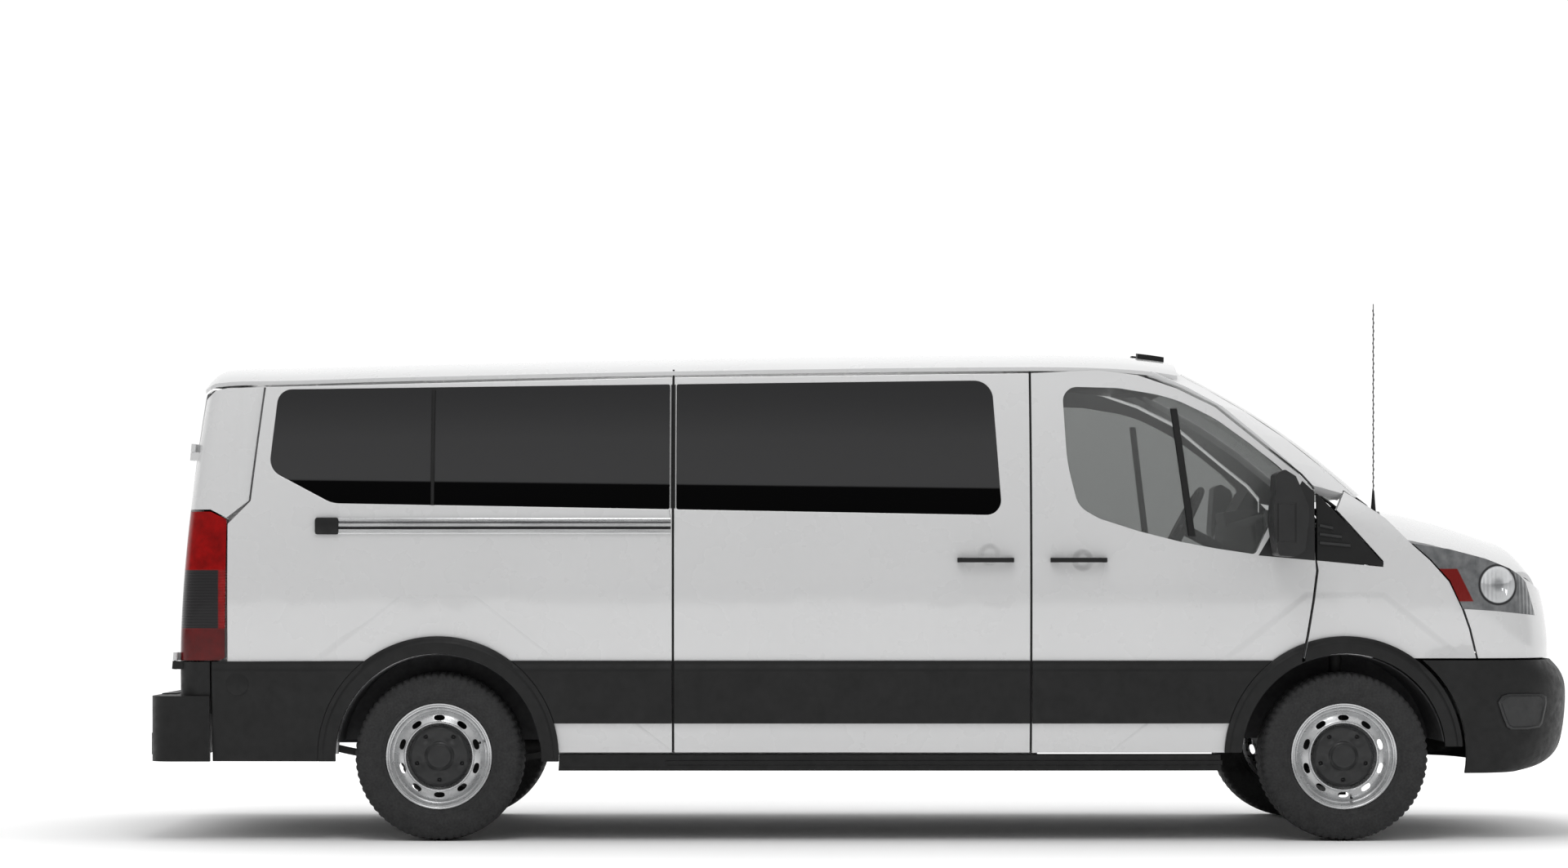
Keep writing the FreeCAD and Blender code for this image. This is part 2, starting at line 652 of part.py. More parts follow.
def fender(side):
    panel = fender_slab(side, s.wall).common(side_prism(side, fender_points(), 0))
    panel = panel.cut(arch_cylinder(side, FRONT_AXLE, s.arch_radius))
    panel = panel.fuse(fender_lip(side))
    x, z = bonnet_axis()
    inner = s.bonnet_half_width * 0.86 + s.hinge_length * 0.3
    outer = side_reach(x, z) - s.wall
    half = s.hinge_barrel
    low = z - half * 4.8
    bracket = sided_box(side, x - half, x + half, inner, outer, low, low + half * 1.8)
    lug = sided_box(side, x - half, x + half, inner, inner + half * 1.8, low, z + half)
    pin = Part.makeCylinder(s.hinge_pin, s.hinge_length, Vector(x, side * (inner + half), z), Vector(0, -side, 0))
    return panel.fuse([bracket, lug, pin])


# Bonnet
BONNET_LINE_SHARES = ((0.0, -0.075), (0.2, 0.015), (0.42, 0.145), (0.62, 0.296), (0.8, 0.432), (0.86, 0.54),
                      (0.903, 0.678), (0.95, 0.9), (1.0, 1.07))


def bonnet_start():
    return FRONT_AXLE + s.wall * 3.1


def bonnet_line(x):
    """Height of the bonnet's centre line, by straight interpolation between its stations."""
    share = (x - bonnet_start()) / s.bonnet_length
    fall = (s.cowl_height - s.nose_height) * 1.6
    last = BONNET_LINE_SHARES[0]
    for station in BONNET_LINE_SHARES[1:]:
        if share <= station[0]:
            ratio = (share - last[0]) / (station[0] - last[0])
            return s.cowl_height - fall * (last[1] + (station[1] - last[1]) * ratio)
        last = station
    return s.cowl_height - fall * last[1]


def bonnet_half(share):
    """Half width of the bonnet at a share of its length."""
    return s.bonnet_half_width * (1 - 0.42 * max(0, share - 0.2) ** 1.5)


def bonnet_height(x, y):
    share = (x - bonnet_start()) / s.bonnet_length
    drop = s.wall * (2.15 - 7.5 * max(0, share - 0.8))
    return bonnet_line(x) - drop * (abs(y) / bonnet_half(share)) ** 3


def bonnet_outline(inset=0):
    """Plan outline of the bonnet."""
    rear = bonnet_start() + inset
    half = s.bonnet_half_width - inset
    front = rear + s.bonnet_length - 2 * inset
    bow = s.wall * 0.9
    right = [(rear - bow * 0.2, half)]
    for share in (0.2, 0.42, 0.62, 0.8):
        right.append((rear + s.bonnet_length * share, bonnet_half(share) - inset))
    right += [(front - bow * 0.75, half * 0.66), (front - bow * 0.25, half * 0.4), (front, 0)]
    left = [(x, -y) for x, y in reversed(right[:-1])]
    return right + left + [(rear + bow, -half * 0.4), (rear + bow * 1.2, 0), (rear + bow, half * 0.4)]


def bonnet_slab(thickness, drop=0):
    grid = []
    reach = s.bonnet_half_width + s.seam * 2
    for x in spaced(bonnet_start() - s.wall, bonnet_start() + s.bonnet_length + s.seam, 17):
        grid.append([Vector(x, y, bonnet_height(x, y) - drop) for y in spaced(-reach, reach, 11)])
    return skin(grid).extrude(Vector(0, 0, -thickness))


def bonnet():
    cutter = prism(bonnet_outline(), 0, on_top, 0, s.gutter_height)
    panel = bonnet_slab(s.bonnet_thickness).common(cutter)
    for side in SIDES:
        panel = panel.fuse(bonnet_arm(side))
    return panel


def bonnet_axis():
    """Station and height of the bonnet's hinge pin."""
    return bonnet_start() - s.wall * 1.22, s.cowl_height - s.wall * 0.62


def bonnet_zone():
    """Room taken by the bonnet and its gap, for cutting the nose and lamps."""
    height = s.gutter_height - s.nose_height
    deep = bonnet_slab(height, s.bonnet_thickness + s.seam * 2 - height)
    return deep.common(prism(bonnet_outline(-s.seam * 1.6), 0, on_top, 0, s.gutter_height + OVERRUN))


def bonnet_arm(side):
    """Hinge arm under the bonnet, with a bored barrel on the pin."""
    x, z = bonnet_axis()
    y = side * s.bonnet_half_width * 0.86
    width = s.hinge_length / 2
    reach = x + s.wall * 3
    top = bonnet_height(reach, y) - s.bonnet_thickness / 2
    profile = [(x, z + s.hinge_barrel), (x, z - s.hinge_barrel), (x + s.wall * 1.1, top - s.wall),
               (reach, top - s.wall), (reach, top), (x + s.wall * 1.6, top - s.seam),
               (x + s.wall * 1.2, top - s.wall * 0.4)]
    arm = prism(profile, 0, on_side, y - width / 2, y + width / 2)
    barrel = Part.makeCylinder(s.hinge_barrel, width, Vector(x, y - width / 2, z), Vector(0, 1, 0))
    bore = Part.makeCylinder(s.hinge_pin + s.running_gap, width, Vector(x, y - width / 2, z), Vector(0, 1, 0))
    return arm.fuse(barrel).cut(bore)


# Windscreen
def screen_edge(share):
    """Foot-to-head line of the windscreen's side edge, at a share of its height."""
    foot = Vector(FRONT_AXLE + s.wall * 1.1, 0, s.cowl_height + s.wall * 0.9)
    head = Vector(DOOR_REAR + s.door_length * 0.52, 0, s.gutter_height - s.wall * 0.25)
    bow = math.sin(math.pi * share) * s.wall * 0.42
    return foot + (head - foot) * share + Vector(bow, 0, bow)


def screen_half(share):
    return s.screen_half_width * (1.0 - 0.06 * share)


def screen_point(share, y):
    edge = screen_edge(share)
    across = 1 - (y / screen_half(share)) ** 2
    bulge = s.screen_bulge * (1 - 0.45 * share)
    return Vector(edge.x + bulge * across, y, edge.z + s.screen_crown * (0.3 + 0.7 * share) * across)


def screen_slab(thickness, low, high, half_share):
    grid = []
    for share in spaced(low, high, 7):
        half = screen_half(share) * half_share
        grid.append([screen_point(share, y) for y in spaced(-half, half, 9)])
    run = screen_edge(0) - screen_edge(1)
    inward = Vector(run.z, 0, -run.x)
    inward.normalize()
    return skin(grid).extrude(inward * thickness)


def windscreen():
    return screen_slab(s.glass_thickness, 0.02, 0.965, 0.993)


# Pillars run along the door's upper edge, from the cowl to the roof header.
PILLAR_SHARES = ((0.0, 0.985, 0.69), (0.2, 0.9, 0.752), (0.42, 0.79, 0.823), (0.64, 0.67, 0.897),
                 (0.83, 0.55, 0.946), (1.0, 0.42, 0.989))


def pillar_wire(side, station, depth):
    share, door_u, door_v = station
    foot_x, foot_z = door_box(((door_u, door_v),))[0]
    outer = Vector(foot_x + s.seam * 0.8, side * (side_reach(foot_x, foot_z) - s.seat_gap), foot_z + s.seam * 1.1)
    edge = screen_edge(share)
    upper = Vector(edge.x, side * (screen_half(share) + s.seat_gap), edge.z)
    inward = Vector(-depth * 0.45, -side * depth * 0.55, -depth * 0.6)
    corners = [outer, upper, upper + inward, outer + inward]
    return Part.makePolygon(corners + corners[:1])


def screen_frame():
    """Both windscreen pillars with the header that joins them under the roof."""
    pieces = []
    for side in SIDES:
        wires = [pillar_wire(side, station, s.pillar_depth) for station in PILLAR_SHARES]
        pillar = Part.makeLoft(wires, True, True)
        pillar = pillar.cut(side_prism(side, door_points(), 0, -s.swing_gap))
        pieces.append(pillar.cut(side_prism(side, fender_points(), 0, -s.seam / 2)))
    head = screen_edge(1)
    x = head.x + s.screen_bulge * 0.2
    grid = []
    for share in spaced(0.972, 1.06, 3):
        half = screen_half(share)
        grid.append([screen_point(share, y) for y in spaced(-half, half, 9)])
    run = screen_edge(0) - screen_edge(1)
    inward = Vector(run.z, 0, -run.x)
    inward.normalize()
    header = skin(grid).extrude(inward * s.pillar_depth * 0.5)
    under = inward * (s.glass_thickness + s.seat_gap)
    grid = []
    for share in spaced(0.93, 0.985, 3):
        half = screen_half(share) * 0.98
        grid.append([screen_point(share, y) + under for y in spaced(-half, half, 9)])
    flange = skin(grid).extrude(inward * s.seam)
    return header.fuse([flange] + pieces).cut(roof_block(s.seat_gap))


def roof_rear():
    return rear_face(0, s.rear_door_top) + s.seam * 2


def roof_sink(x):
    """How far the roof's rear lip turns down."""
    radius = s.rear_corner_radius
    return s.wall * max(0, (roof_rear() + radius - x) / radius) ** 2


def roof_slab(thickness, lift=0):
    grid = []
    front = screen_edge(1).x + s.screen_bulge * 0.3
    rear = roof_rear()
    stations = [rear - s.seam, rear + s.wall * 0.4, rear + s.wall, rear + s.wall * 1.8]
    for x in stations + spaced(CORNER_SEAM, front + s.wall, 11):
        half = roof_edge_half(x)
        shares = (-1, -0.95, -0.88, -0.76, -0.6, -0.35, 0, 0.35, 0.6, 0.76, 0.88, 0.95, 1)
        height = lift - roof_sink(x)
        grid.append([Vector(x, half * v, roof_height(x, half * v) + height) for v in shares])
    return skin(grid).extrude(Vector(0, 0, -thickness))


def roof_block(gap):
    """Room taken by the roof with a gap below it, for cutting what meets it."""
    return roof_slab(s.roof_thickness + gap + s.wall, s.wall)


def roof():
    """Roof skin from the rear doors to the windscreen header."""
    rear = roof_rear()
    front = screen_edge(1).x + s.screen_bulge * 0.3
    bow = s.wall * 0.6
    half = s.half_width + OVERRUN
    corner = roof_edge_half(rear)
    radius = s.rear_corner_radius
    right = [(rear + radius, -half), (front - bow, -half), (front - bow, -s.screen_half_width * 0.9),
             (front, -half * 0.3)]
    curve = [(rear, -corner + radius), (rear + radius * 0.1, -corner + radius * 0.55),
             (rear + radius * 0.35, -corner + radius * 0.2), (rear + radius, -corner - s.seam)]
    left = [(x, -y) for x, y in reversed(right)]
    back = [(x, -y) for x, y in reversed(curve)]
    plan = curve + right + left + back
    return roof_slab(s.roof_thickness).common(prism(plan, 0, on_top, s.belt_height, s.gutter_height + OVERRUN))


# Rear doors
def rear_slab(z0, z1, y0, y1, thickness, offset=0):
    grid = []
    for z in spaced(z0, z1, 8):
        grid.append([Vector(rear_face(y, z) - offset, y, z) for y in spaced(y0, y1, 7)])
    return skin(grid).extrude(Vector(thickness, 0, 0))


def rear_door_points(side):
    """Rear door seen from behind: its outer edge follows the side, its top follows the roof."""
    half = s.seam / 2
    low = s.rear_door_bottom
    x = roof_rear()
    gap = s.roof_thickness + s.seam + roof_sink(x)
    points = [(side * half, low)]
    top_half = rear_edge_half(s.glass_top) - s.wall * 0.5
    top_z = roof_height(x, top_half) - gap
    for z in spaced(low, top_z - s.wall * 0.4, 6):
        points.append((side * (rear_edge_half(z) - half), z))
    for y in spaced(top_half, half, 5):
        points.append((side * y, roof_height(x, y) - gap))
    return points


def rear_window_points(side):
    low = s.belt_height - s.seam
    high = s.glass_top - s.wall
    inner = side * s.wall * 1.6
    foot = side * (rear_edge_half(low) - s.wall * 1.6)
    head = side * (rear_edge_half(high) - s.wall * 1.6)
    return [(inner, low), (foot, low), (head, high), (inner, high)]


def rear_door(side):
    span = sorted((0, side * (s.rear_door_half + s.seam)))
    slab = rear_slab(s.rear_door_bottom - s.seam, s.rear_door_top + s.wall, span[0], span[1], s.rear_door_wall)
    start = REAR_TIP - OVERRUN
    end = REAR_TIP + s.rear_set * 4
    panel = slab.common(prism(rear_door_points(side), 0, on_rear, start, end))
    panel = panel.cut(prism(rear_window_points(side), s.wall * 0.7, on_rear, start, end))
    for height in rear_hinge_heights():
        panel = panel.fuse(rear_strap(side, height))
    return panel


def rear_glass(side):
    span = sorted((0, side * (s.rear_door_half + s.seam)))
    slab = rear_slab(s.belt_height - s.wall, s.glass_top, span[0], span[1], s.glass_thickness, -2)
    cutter = prism(rear_window_points(side), s.wall * 0.7, on_rear, REAR_TIP - OVERRUN,
                   REAR_TIP + s.rear_set * 4, s.seat_gap)
    return slab.common(cutter)


def rear_hinge_heights():
    return (s.step_height + s.wall * 2.4, s.glass_top - s.wall * 4.7)


def rear_axis(side):
    """Foot and direction of the rear door's hinge line, which leans with the door and the side."""
    low, high = rear_hinge_heights()
    ends = []
    for z in (low, high):
        y = rear_edge_half(z) + s.rear_hinge_reach
        ends.append(Vector(rear_face(s.rear_door_half, z) - s.hinge_set, side * y, z))
    direction = ends[1] - ends[0]
    direction.normalize()
    return ends[0], direction


def on_axis(foot, direction, z):
    return foot + direction * ((z - foot.z) / direction.z)


def barrel(foot, direction, low, length):
    """A bored hinge barrel on a pin's line."""
    start = on_axis(foot, direction, low)
    solid = Part.makeCylinder(s.hinge_barrel, length, start, direction)
    margin = direction * s.hinge_pin
    bore = Part.makeCylinder(s.hinge_pin + s.running_gap, length + s.hinge_pin * 2, start - margin, direction)
    return solid, bore


def sided_box(side, x0, x1, y0, y1, z0, z1):
    """A box whose distances across are measured outward on one side."""
    return Part.makeBox(x1 - x0, y1 - y0, z1 - z0, Vector(x0, min(side * y0, side * y1), z0))


def rear_strap(side, height):
    """Hinge strap across the door's edge to its barrel."""
    foot, direction = rear_axis(side)
    low = height + s.seat_gap * 5
    solid, bore = barrel(foot, direction, low, s.hinge_length)
    centre = on_axis(foot, direction, low)
    edge = rear_edge_half(height) - s.seam / 2
    y = centre.y * side
    high = low + s.hinge_length
    strap = sided_box(side, centre.x - s.hinge_barrel * 0.5, centre.x + s.hinge_barrel * 0.9, edge - s.wall, y, low, high)
    root = sided_box(side, centre.x, centre.x + s.wall * 0.6, edge - s.wall, edge, low, high)
    return strap.fuse([root, solid]).cut(bore)


def rear_hinge_base(side, height):
    """Body half of the rear door's hinge, with its pin."""
    foot, direction = rear_axis(side)
    low = height - s.hinge_length
    solid, _ = barrel(foot, direction, low, s.hinge_length)
    start = on_axis(foot, direction, low)
    pin = Part.makeCylinder(s.hinge_pin, s.hinge_length * 2, start, direction)
    y = start.y * side
    base = sided_box(side, start.x, start.x + s.wall, y - s.hinge_barrel, y + s.hinge_barrel, low, height)
    return base.fuse([solid.fuse(pin)])


def rear_corner_nodes():
    shapes = []
    for side in SIDES:
        panel = corner_panel(side)
        shapes.append(panel.fuse(rear_hinge_base(side, rear_hinge_heights()[1])))
    return Part.makeCompound(shapes)


# Inner frame that carries the side panels
def frame_rear(z):
    """Rear edge of the inner frame, just ahead of the bent corner."""
    return rear_face(s.rear_door_half, z) + s.rear_corner_radius + s.wall + s.seam


def side_frame(side):
    """Inner frame of one side: rails and posts behind the outer panels."""
    low = s.rocker_bottom - s.seam + s.seat_gap
    front = DOOR_REAR + s.wall * 0.5
    inset = s.wall * 0.8
    rear = [(frame_rear(z), z) for z in (low, s.bumper_top, s.belt_height, roof_edge(CORNER_SEAM))]
    frame = side_panel(side, rear + [(front, roof_edge(front)), (front, low)], 0, s.frame_depth, -FRAME_OUT)
    frame = frame.cut(arch_cylinder(side, REAR_AXLE, s.liner_radius + s.seat_gap))
    for window in (quarter_window, slider_window):
        frame = frame.cut(side_prism(side, window()[0], 0))
    lower = [(SLIDER_REAR + inset, s.floor_height), (SLIDER_REAR + inset, s.belt_height - inset),
             (DOOR_REAR - inset, s.belt_height - inset), (DOOR_REAR - inset, s.floor_height)]
    return frame.cut(side_prism(side, lower, s.wall))


def hinge_post(side):
    """Front door post inside the wing, with the two hinge pins."""
    foot, direction = door_axis(side)
    x0 = foot.x - s.wall * 1.5
    inner = s.floor_half_width - s.wall * 2
    post = sided_box(side, x0, x0 + s.wall, inner, inner + s.wall * 0.8, s.rocker_bottom, s.belt_height)
    post = post.cut(Part.makeCylinder(s.liner_radius + s.seat_gap, s.half_width, Vector(FRONT_AXLE, 0, s.tyre_radius),
                                      Vector(0, side, 0)))
    pieces = []
    for height in door_hinge_heights():
        low = height - s.hinge_length
        start = on_axis(foot, direction, low)
        pieces.append(Part.makeCylinder(s.hinge_barrel, s.hinge_length, start, direction))
        pieces.append(Part.makeCylinder(s.hinge_pin, s.hinge_length * 2, start, direction))
        half = s.hinge_pin * 1.3
        pieces.append(sided_box(side, foot.x - half, foot.x + half, inner, start.y * side, low, height))
        pieces.append(sided_box(side, x0, foot.x + half, inner, inner + s.wall * 0.5, low, height))
    return post.fuse(pieces)


def body_frame():
    shapes = []
    for side in SIDES:
        shapes.append(side_frame(side))
        shapes.append(hinge_post(side))
    return Part.makeCompound(shapes)


# Front doors
def door_hinge_heights():
    return (s.cladding_top + s.wall * 0.5, s.belt_height - s.wall * 4)


def door_axis(side):
    """Foot and direction of the front door's hinge line, leaning in with the body side."""
    x = DOOR_FRONT - s.seam * 11.5
    lean = math.radians(1.2)
    y = side_reach(x, s.widest_height) - s.hinge_length * 0.86
    return Vector(x, side * y, s.widest_height), Vector(0, -side * math.sin(lean), math.cos(lean))


def door_pocket(side, height):
    """Room in the door for the hinge arm as it swings, under an unbroken skin."""
    foot, direction = door_axis(side)
    low = height - s.hinge_length * 1.3
    start = on_axis(foot, direction, low)
    pocket = Part.makeCylinder(s.wall * 1.28, s.hinge_length * 2.6, start, direction)
    outer = start.y * side + s.hinge_barrel + s.swing_gap / 2
    reach = s.wall * 2
    kept = sided_box(side, foot.x - reach, foot.x + reach, outer, outer + reach, low - reach, height + reach * 2)
    return pocket.cut(kept)


def door_leaf(side, height):
    """Door half of the hinge, round the pin."""
    foot, direction = door_axis(side)
    low = height + s.seat_gap * 5
    solid, bore = barrel(foot, direction, low, s.hinge_length * 0.9)
    centre = on_axis(foot, direction, low)
    half = s.hinge_barrel * 0.8
    y = centre.y * side
    leaf = sided_box(side, foot.x - s.wall * 1.5, foot.x, y - half, y + half, low, low + s.hinge_length * 0.9)
    return leaf.fuse(solid).cut(bore)


def front_door(side):
    panel = side_panel(side, door_points(), 0, s.door_wall)
    panel = panel.cut(arch_cylinder(side, FRONT_AXLE, s.arch_radius))
    panel = panel.cut(side_prism(side, door_box(DOOR_WINDOW_SHARES), DOOR_WINDOW_ROUNDS))
    panel = panel.cut(side_prism(side, sail_points(False), 0)).cut(roof_block(s.seam))
    for height in door_hinge_heights():
        panel = panel.cut(door_pocket(side, height)).fuse(door_leaf(side, height))
    return panel


def front_door_glass(side):
    return side_panel(side, door_box(DOOR_WINDOW_SHARES), DOOR_WINDOW_ROUNDS, s.glass_thickness, -s.seam, s.seat_gap)


MIRROR_SHARES = ((0.823, 0.6), (0.835, 0.722), (0.862, 0.7325), (0.9, 0.715), (0.944, 0.64), (0.946, 0.61),
                 (0.932, 0.524), (0.9, 0.5085), (0.84, 0.512))


def mirror(side):
    """Sail plate, arm and housing of the door mirror."""
    sail = side_panel(side, sail_points(False), 0, s.door_wall, 0, s.seat_gap)
    near = side_reach(DOOR_FRONT, s.belt_height)
    start = near + s.wall * 1.2
    end = start + s.wall * 3.4
    housing = prism(door_box(MIRROR_SHARES), s.seam * 1.6, on_side, side * start, side * end)
    rear, front, low, high = bounds(door_box(MIRROR_SHARES))
    hinge = door_axis(side)[0].x
    plan = [(rear - s.seam, side * start), (hinge - s.seam, side * start), (front - s.seam, side * (start + s.wall * 1.9)),
            (front + s.seam, side * (start + s.wall * 2.4)), (front + s.seam, side * (end + s.seam)),
            (rear - s.seam, side * (end + s.seam))]
    housing = housing.common(prism(plan, 0, on_top, low - s.seam, high + s.seam))
    low = s.belt_height - s.wall * 2.6
    foot = near - s.wall * 0.5
    root = [(hinge - s.wall, side * foot), (DOOR_FRONT - s.wall * 0.4, side * foot),
            (DOOR_FRONT - s.wall * 0.5, side * (near + s.seam)), (hinge + s.seam, side * (near + s.wall)),
            (hinge, side * (start + s.wall)), (hinge - s.wall, side * (start + s.wall))]
    arm = prism(root, 0, on_top, low, low + s.wall * 1.2)
    return sail.fuse([housing, arm])


# Cladding
def cladding_band(side, x0, x1):
    top = s.cladding_top
    points = [(x0, s.cladding_bottom), (x0, top), (x1, top), (x1, s.cladding_bottom)]
    return side_panel(side, points, 0, s.cladding_stand - s.seat_gap, s.cladding_stand)


def flare(side, axle):
    """Arch flare: a ring round the wheel that stands off the panel."""
    outer = s.arch_radius + s.flare_width - s.wall * 0.25
    ring = arch_cylinder(side, axle, outer).cut(arch_cylinder(side, axle, s.arch_radius - s.wall * 0.23))
    return side_slab(side, s.flare_stand - s.seat_gap, s.flare_stand).common(ring)


def above(level):
    size = s.wheelbase * 2
    return Part.makeBox(size, size, size, Vector(-size / 2, -size / 2, level))


def clearance_round(side, axle):
    return arch_cylinder(side, axle, s.arch_radius + s.flare_width - s.wall * 0.25 + s.seat_gap)


def fixed_cladding():
    """Black side trim that is fixed to the body."""
    shapes = []
    for side in SIDES:
        rear_edge = LAMP_FRONT - s.wall
        quarter = [(rear_edge, s.rear_bumper_bottom), (rear_edge, s.bumper_top - s.seam / 2),
                   (REAR_AXLE, s.bumper_top), (REAR_AXLE, s.rear_bumper_bottom)]
        tail = side_panel(side, quarter, 0, s.cladding_stand - s.seat_gap, s.cladding_stand)
        shapes.append(tail.cut(clearance_round(side, REAR_AXLE)))
        band = cladding_band(side, REAR_AXLE, SLIDER_REAR - s.seam / 2)
        shapes.append(band.cut(clearance_round(side, REAR_AXLE)))
        shapes.append(cladding_band(side, SLIDER_REAR + s.seam / 2, DOOR_REAR - s.seam / 2))
        shapes.append(flare(side, REAR_AXLE).common(above(s.rear_bumper_bottom)))
        front = flare(side, FRONT_AXLE).common(above(s.rear_bumper_bottom + s.wall)).cut(fender_slab(side, s.wall))
        shapes.append(front.cut(side_prism(side, door_side_zone(s.seam * 1.4), 0)))
        shapes.append(side_panel(side, sail_points(True), 0, s.wall * 0.5))
    shapes.append(door_handle(-1, DOOR_REAR - s.wall * 5.1))
    solids = [solid for shape in shapes for solid in shape.Solids]
    return Part.makeCompound(solids)


def door_side_zone(shift):
    """Side area of the front door, up to its lower front seam moved by a distance."""
    low, high = door_box(DOOR_NOSE_SHARES[:2:-1])
    slope = (high[0] - low[0]) / (high[1] - low[1])
    top = high[1] + s.wall * 2
    return [(DOOR_REAR, s.rocker_bottom), (DOOR_REAR, top), (low[0] + shift + slope * (top - low[1]), top),
            (low[0] + shift, low[1]), (low[0] + shift, s.rocker_bottom)]


def door_cladding(side):
    """Black band, arch flare and pull handle on a front door."""
    band = cladding_band(side, DOOR_REAR + s.seam / 2, FRONT_AXLE - s.wall * 3)
    band = band.cut(clearance_round(side, FRONT_AXLE))
    ring = flare(side, FRONT_AXLE).common(side_prism(side, door_side_zone(0), 0))
    handle = door_handle(side, DOOR_REAR + s.wall * 1.3)
    return Part.makeCompound([band, ring, handle])


def door_handle(side, x):
    """Pull handle bowed off the door skin."""
    z = s.belt_height - s.wall * 3.5
    length = s.wall * 3.9
    foot = z - s.wall * 0.16
    y = max(side_reach(x, foot), side_reach(x + length / 2, foot), side_reach(x + length, foot)) + s.seat_gap
    plan = [(x, y), (x, y + s.wall * 0.35), (x + s.seam * 2, y + s.wall * 0.6),
            (x + length - s.seam * 2, y + s.wall * 0.6), (x + length, y + s.wall * 0.35), (x + length, y),
            (x + length - s.wall * 0.5, y), (x + length - s.wall * 0.6, y + s.wall * 0.25),
            (x + s.wall * 0.6, y + s.wall * 0.25), (x + s.wall * 0.5, y)]
    plan = [(u, side * v) for u, v in plan]
    return prism(plan, 0, on_top, foot, z + s.wall * 0.16)


# Rear bumper
def rear_bumper():
    """Step bumper between the two corners."""
    half = side_reach(CORNER_SEAM, s.step_height) + s.cladding_stand
    front = LAMP_FRONT - s.wall - s.seam
    radius = s.rear_corner_radius
    tip = REAR_TIP + s.rear_set * 0.1
    outer = [(front, -half), (tip, -half), (tip, half), (front, half)]
    inner_half = half - s.bumper_wall
    deep = tip + s.rear_set
    body = prism(outer, (0, radius, radius, 0), on_top, s.rear_bumper_bottom, s.step_height)
    hollow = [(front + OVERRUN, -inner_half), (deep, -inner_half), (deep, inner_half), (front + OVERRUN, inner_half)]
    body = body.cut(prism(hollow, (0, radius / 2, radius / 2, 0), on_top, s.rear_bumper_bottom - s.wall, s.step_height + s.wall))
    shapes = [body]
    for side in SIDES:
        slab = corner_slab(side, s.step_height - s.seam, s.bumper_top, s.wall)
        area = [(front, s.step_height - s.seam / 2), (front, s.bumper_top - s.seam * 0.7), (REAR_TIP - s.wall, s.bumper_top - s.seam * 0.7),
                (REAR_TIP - s.wall, s.step_height - s.seam / 2)]
        shapes.append(slab.common(side_prism(side, area, 0)))
        shapes.append(rear_hinge_base(side, rear_hinge_heights()[0]))
        pad = Part.makeBox(s.wall, s.wall * 1.6, s.wall * 1.5,
                           Vector(REAR_TIP, side * half * 0.8 - s.wall * 0.8, s.rear_bumper_bottom + s.wall * 0.4))
        shapes.append(pad)
    half = s.rear_door_half * 0.8
    tread = Part.makeBox(s.wall, half * 2, s.seam, Vector(tip + s.seam, -half, s.step_height - s.seam / 2))
    shapes.append(tread)
    return shapes[0].fuse(shapes[1:])


# Wheels, axles and steering
def tyre_profile():
    """Half section of the tyre, in radius and distance across."""
    half = s.tyre_width / 2
    tread = half * 0.86
    shoulder = s.tyre_radius - s.tyre_radius * 0.045
    bead = s.rim_radius + s.seat_gap
    side_mid = (s.tyre_radius + bead) / 2
    seat = half * 0.76
    lip = s.flange_radius + s.seat_gap * 4
    return [(s.tyre_radius, -tread), (s.tyre_radius, tread), (shoulder, half * 0.97), (side_mid, half),
            (lip, seat), (bead, seat), (bead, -seat), (lip, -seat), (side_mid, -half), (shoulder, -half * 0.97)]


def rim_profile():
    """Section of the rim: barrel, flanges, disc and hub face. Positive is outboard."""
    half = s.tyre_width / 2 * 0.76 + s.seat_gap
    thin = s.seam * 0.55
    well = s.rim_radius * 0.9
    return [(s.flange_radius, half), (s.flange_radius, half + thin), (s.rim_radius * 0.93, half + thin),
            (well, half * 0.5), (s.hand_hole_circle * 1.15, half * 0.62), (s.hand_hole_circle * 0.8, half * 0.74),
            (s.hub_radius * 1.05, half * 0.45), (s.hub_radius * 0.8, half * 0.5),
            (s.spindle_radius + s.bearing_gap, half * 0.5), (s.spindle_radius + s.bearing_gap, half * 0.36),
            (s.hub_radius * 1.1, half * 0.34), (s.hand_hole_circle * 0.8, half * 0.62),
            (s.hand_hole_circle * 1.1, half * 0.48), (well - thin, half * 0.35), (well - thin, -half * 0.6),
            (s.rim_radius - thin * 2, -half), (s.flange_radius, -half - thin), (s.flange_radius, -half),
            (s.rim_radius, -half), (s.rim_radius, -half * 0.85), (well, -half * 0.55), (well, half * 0.42),
            (s.rim_radius, half * 0.8), (s.rim_radius, half)]


def revolve_profile(profile, side, axle):
    """Turn a section about the wheel's axis."""
    centre = side * s.track / 2
    points = [Vector(axle, centre + side * across, s.tyre_radius + radius) for radius, across in profile]
    face = Part.Face(Part.makePolygon(points + points[:1]))
    return face.revolve(Vector(axle, centre, s.tyre_radius), Vector(0, 1, 0), 360)


def rim(side, axle):
    solid = revolve_profile(rim_profile(), side, axle)
    holes = []
    for index in range(10):
        angle = 2 * math.pi * index / 10
        start = Vector(axle + s.hand_hole_circle * math.sin(angle), side * s.track / 2,
                       s.tyre_radius + s.hand_hole_circle * math.cos(angle))
        holes.append(Part.makeCylinder(s.hand_hole_radius, s.tyre_width, start, Vector(0, side, 0)))
    return solid.cut(Part.makeCompound(holes))


def hub_cap(side, axle):
    """Stepped plastic cap that sits on the hub's face and clears the spindle's end."""
    face = (s.tyre_width / 2 * 0.76 + s.seat_gap) * 0.5 + s.seat_gap
    rise = s.wall * 0.7
    room = face + s.seam * 0.7
    profile = [(0, room), (s.spindle_radius * 1.2, room), (s.spindle_radius * 1.2, face), (s.hub_radius * 0.78, face),
               (s.hub_radius * 1.2, face + rise * 0.35), (s.hub_radius * 1.5, face + rise * 0.8),
               (s.hub_radius * 1.45, face + rise * 0.95), (s.hub_radius * 0.6, face + rise * 0.9),
               (s.hub_radius * 0.55, face + rise * 1.3), (0, face + rise * 1.3)]
    return revolve_profile(profile, side, axle)


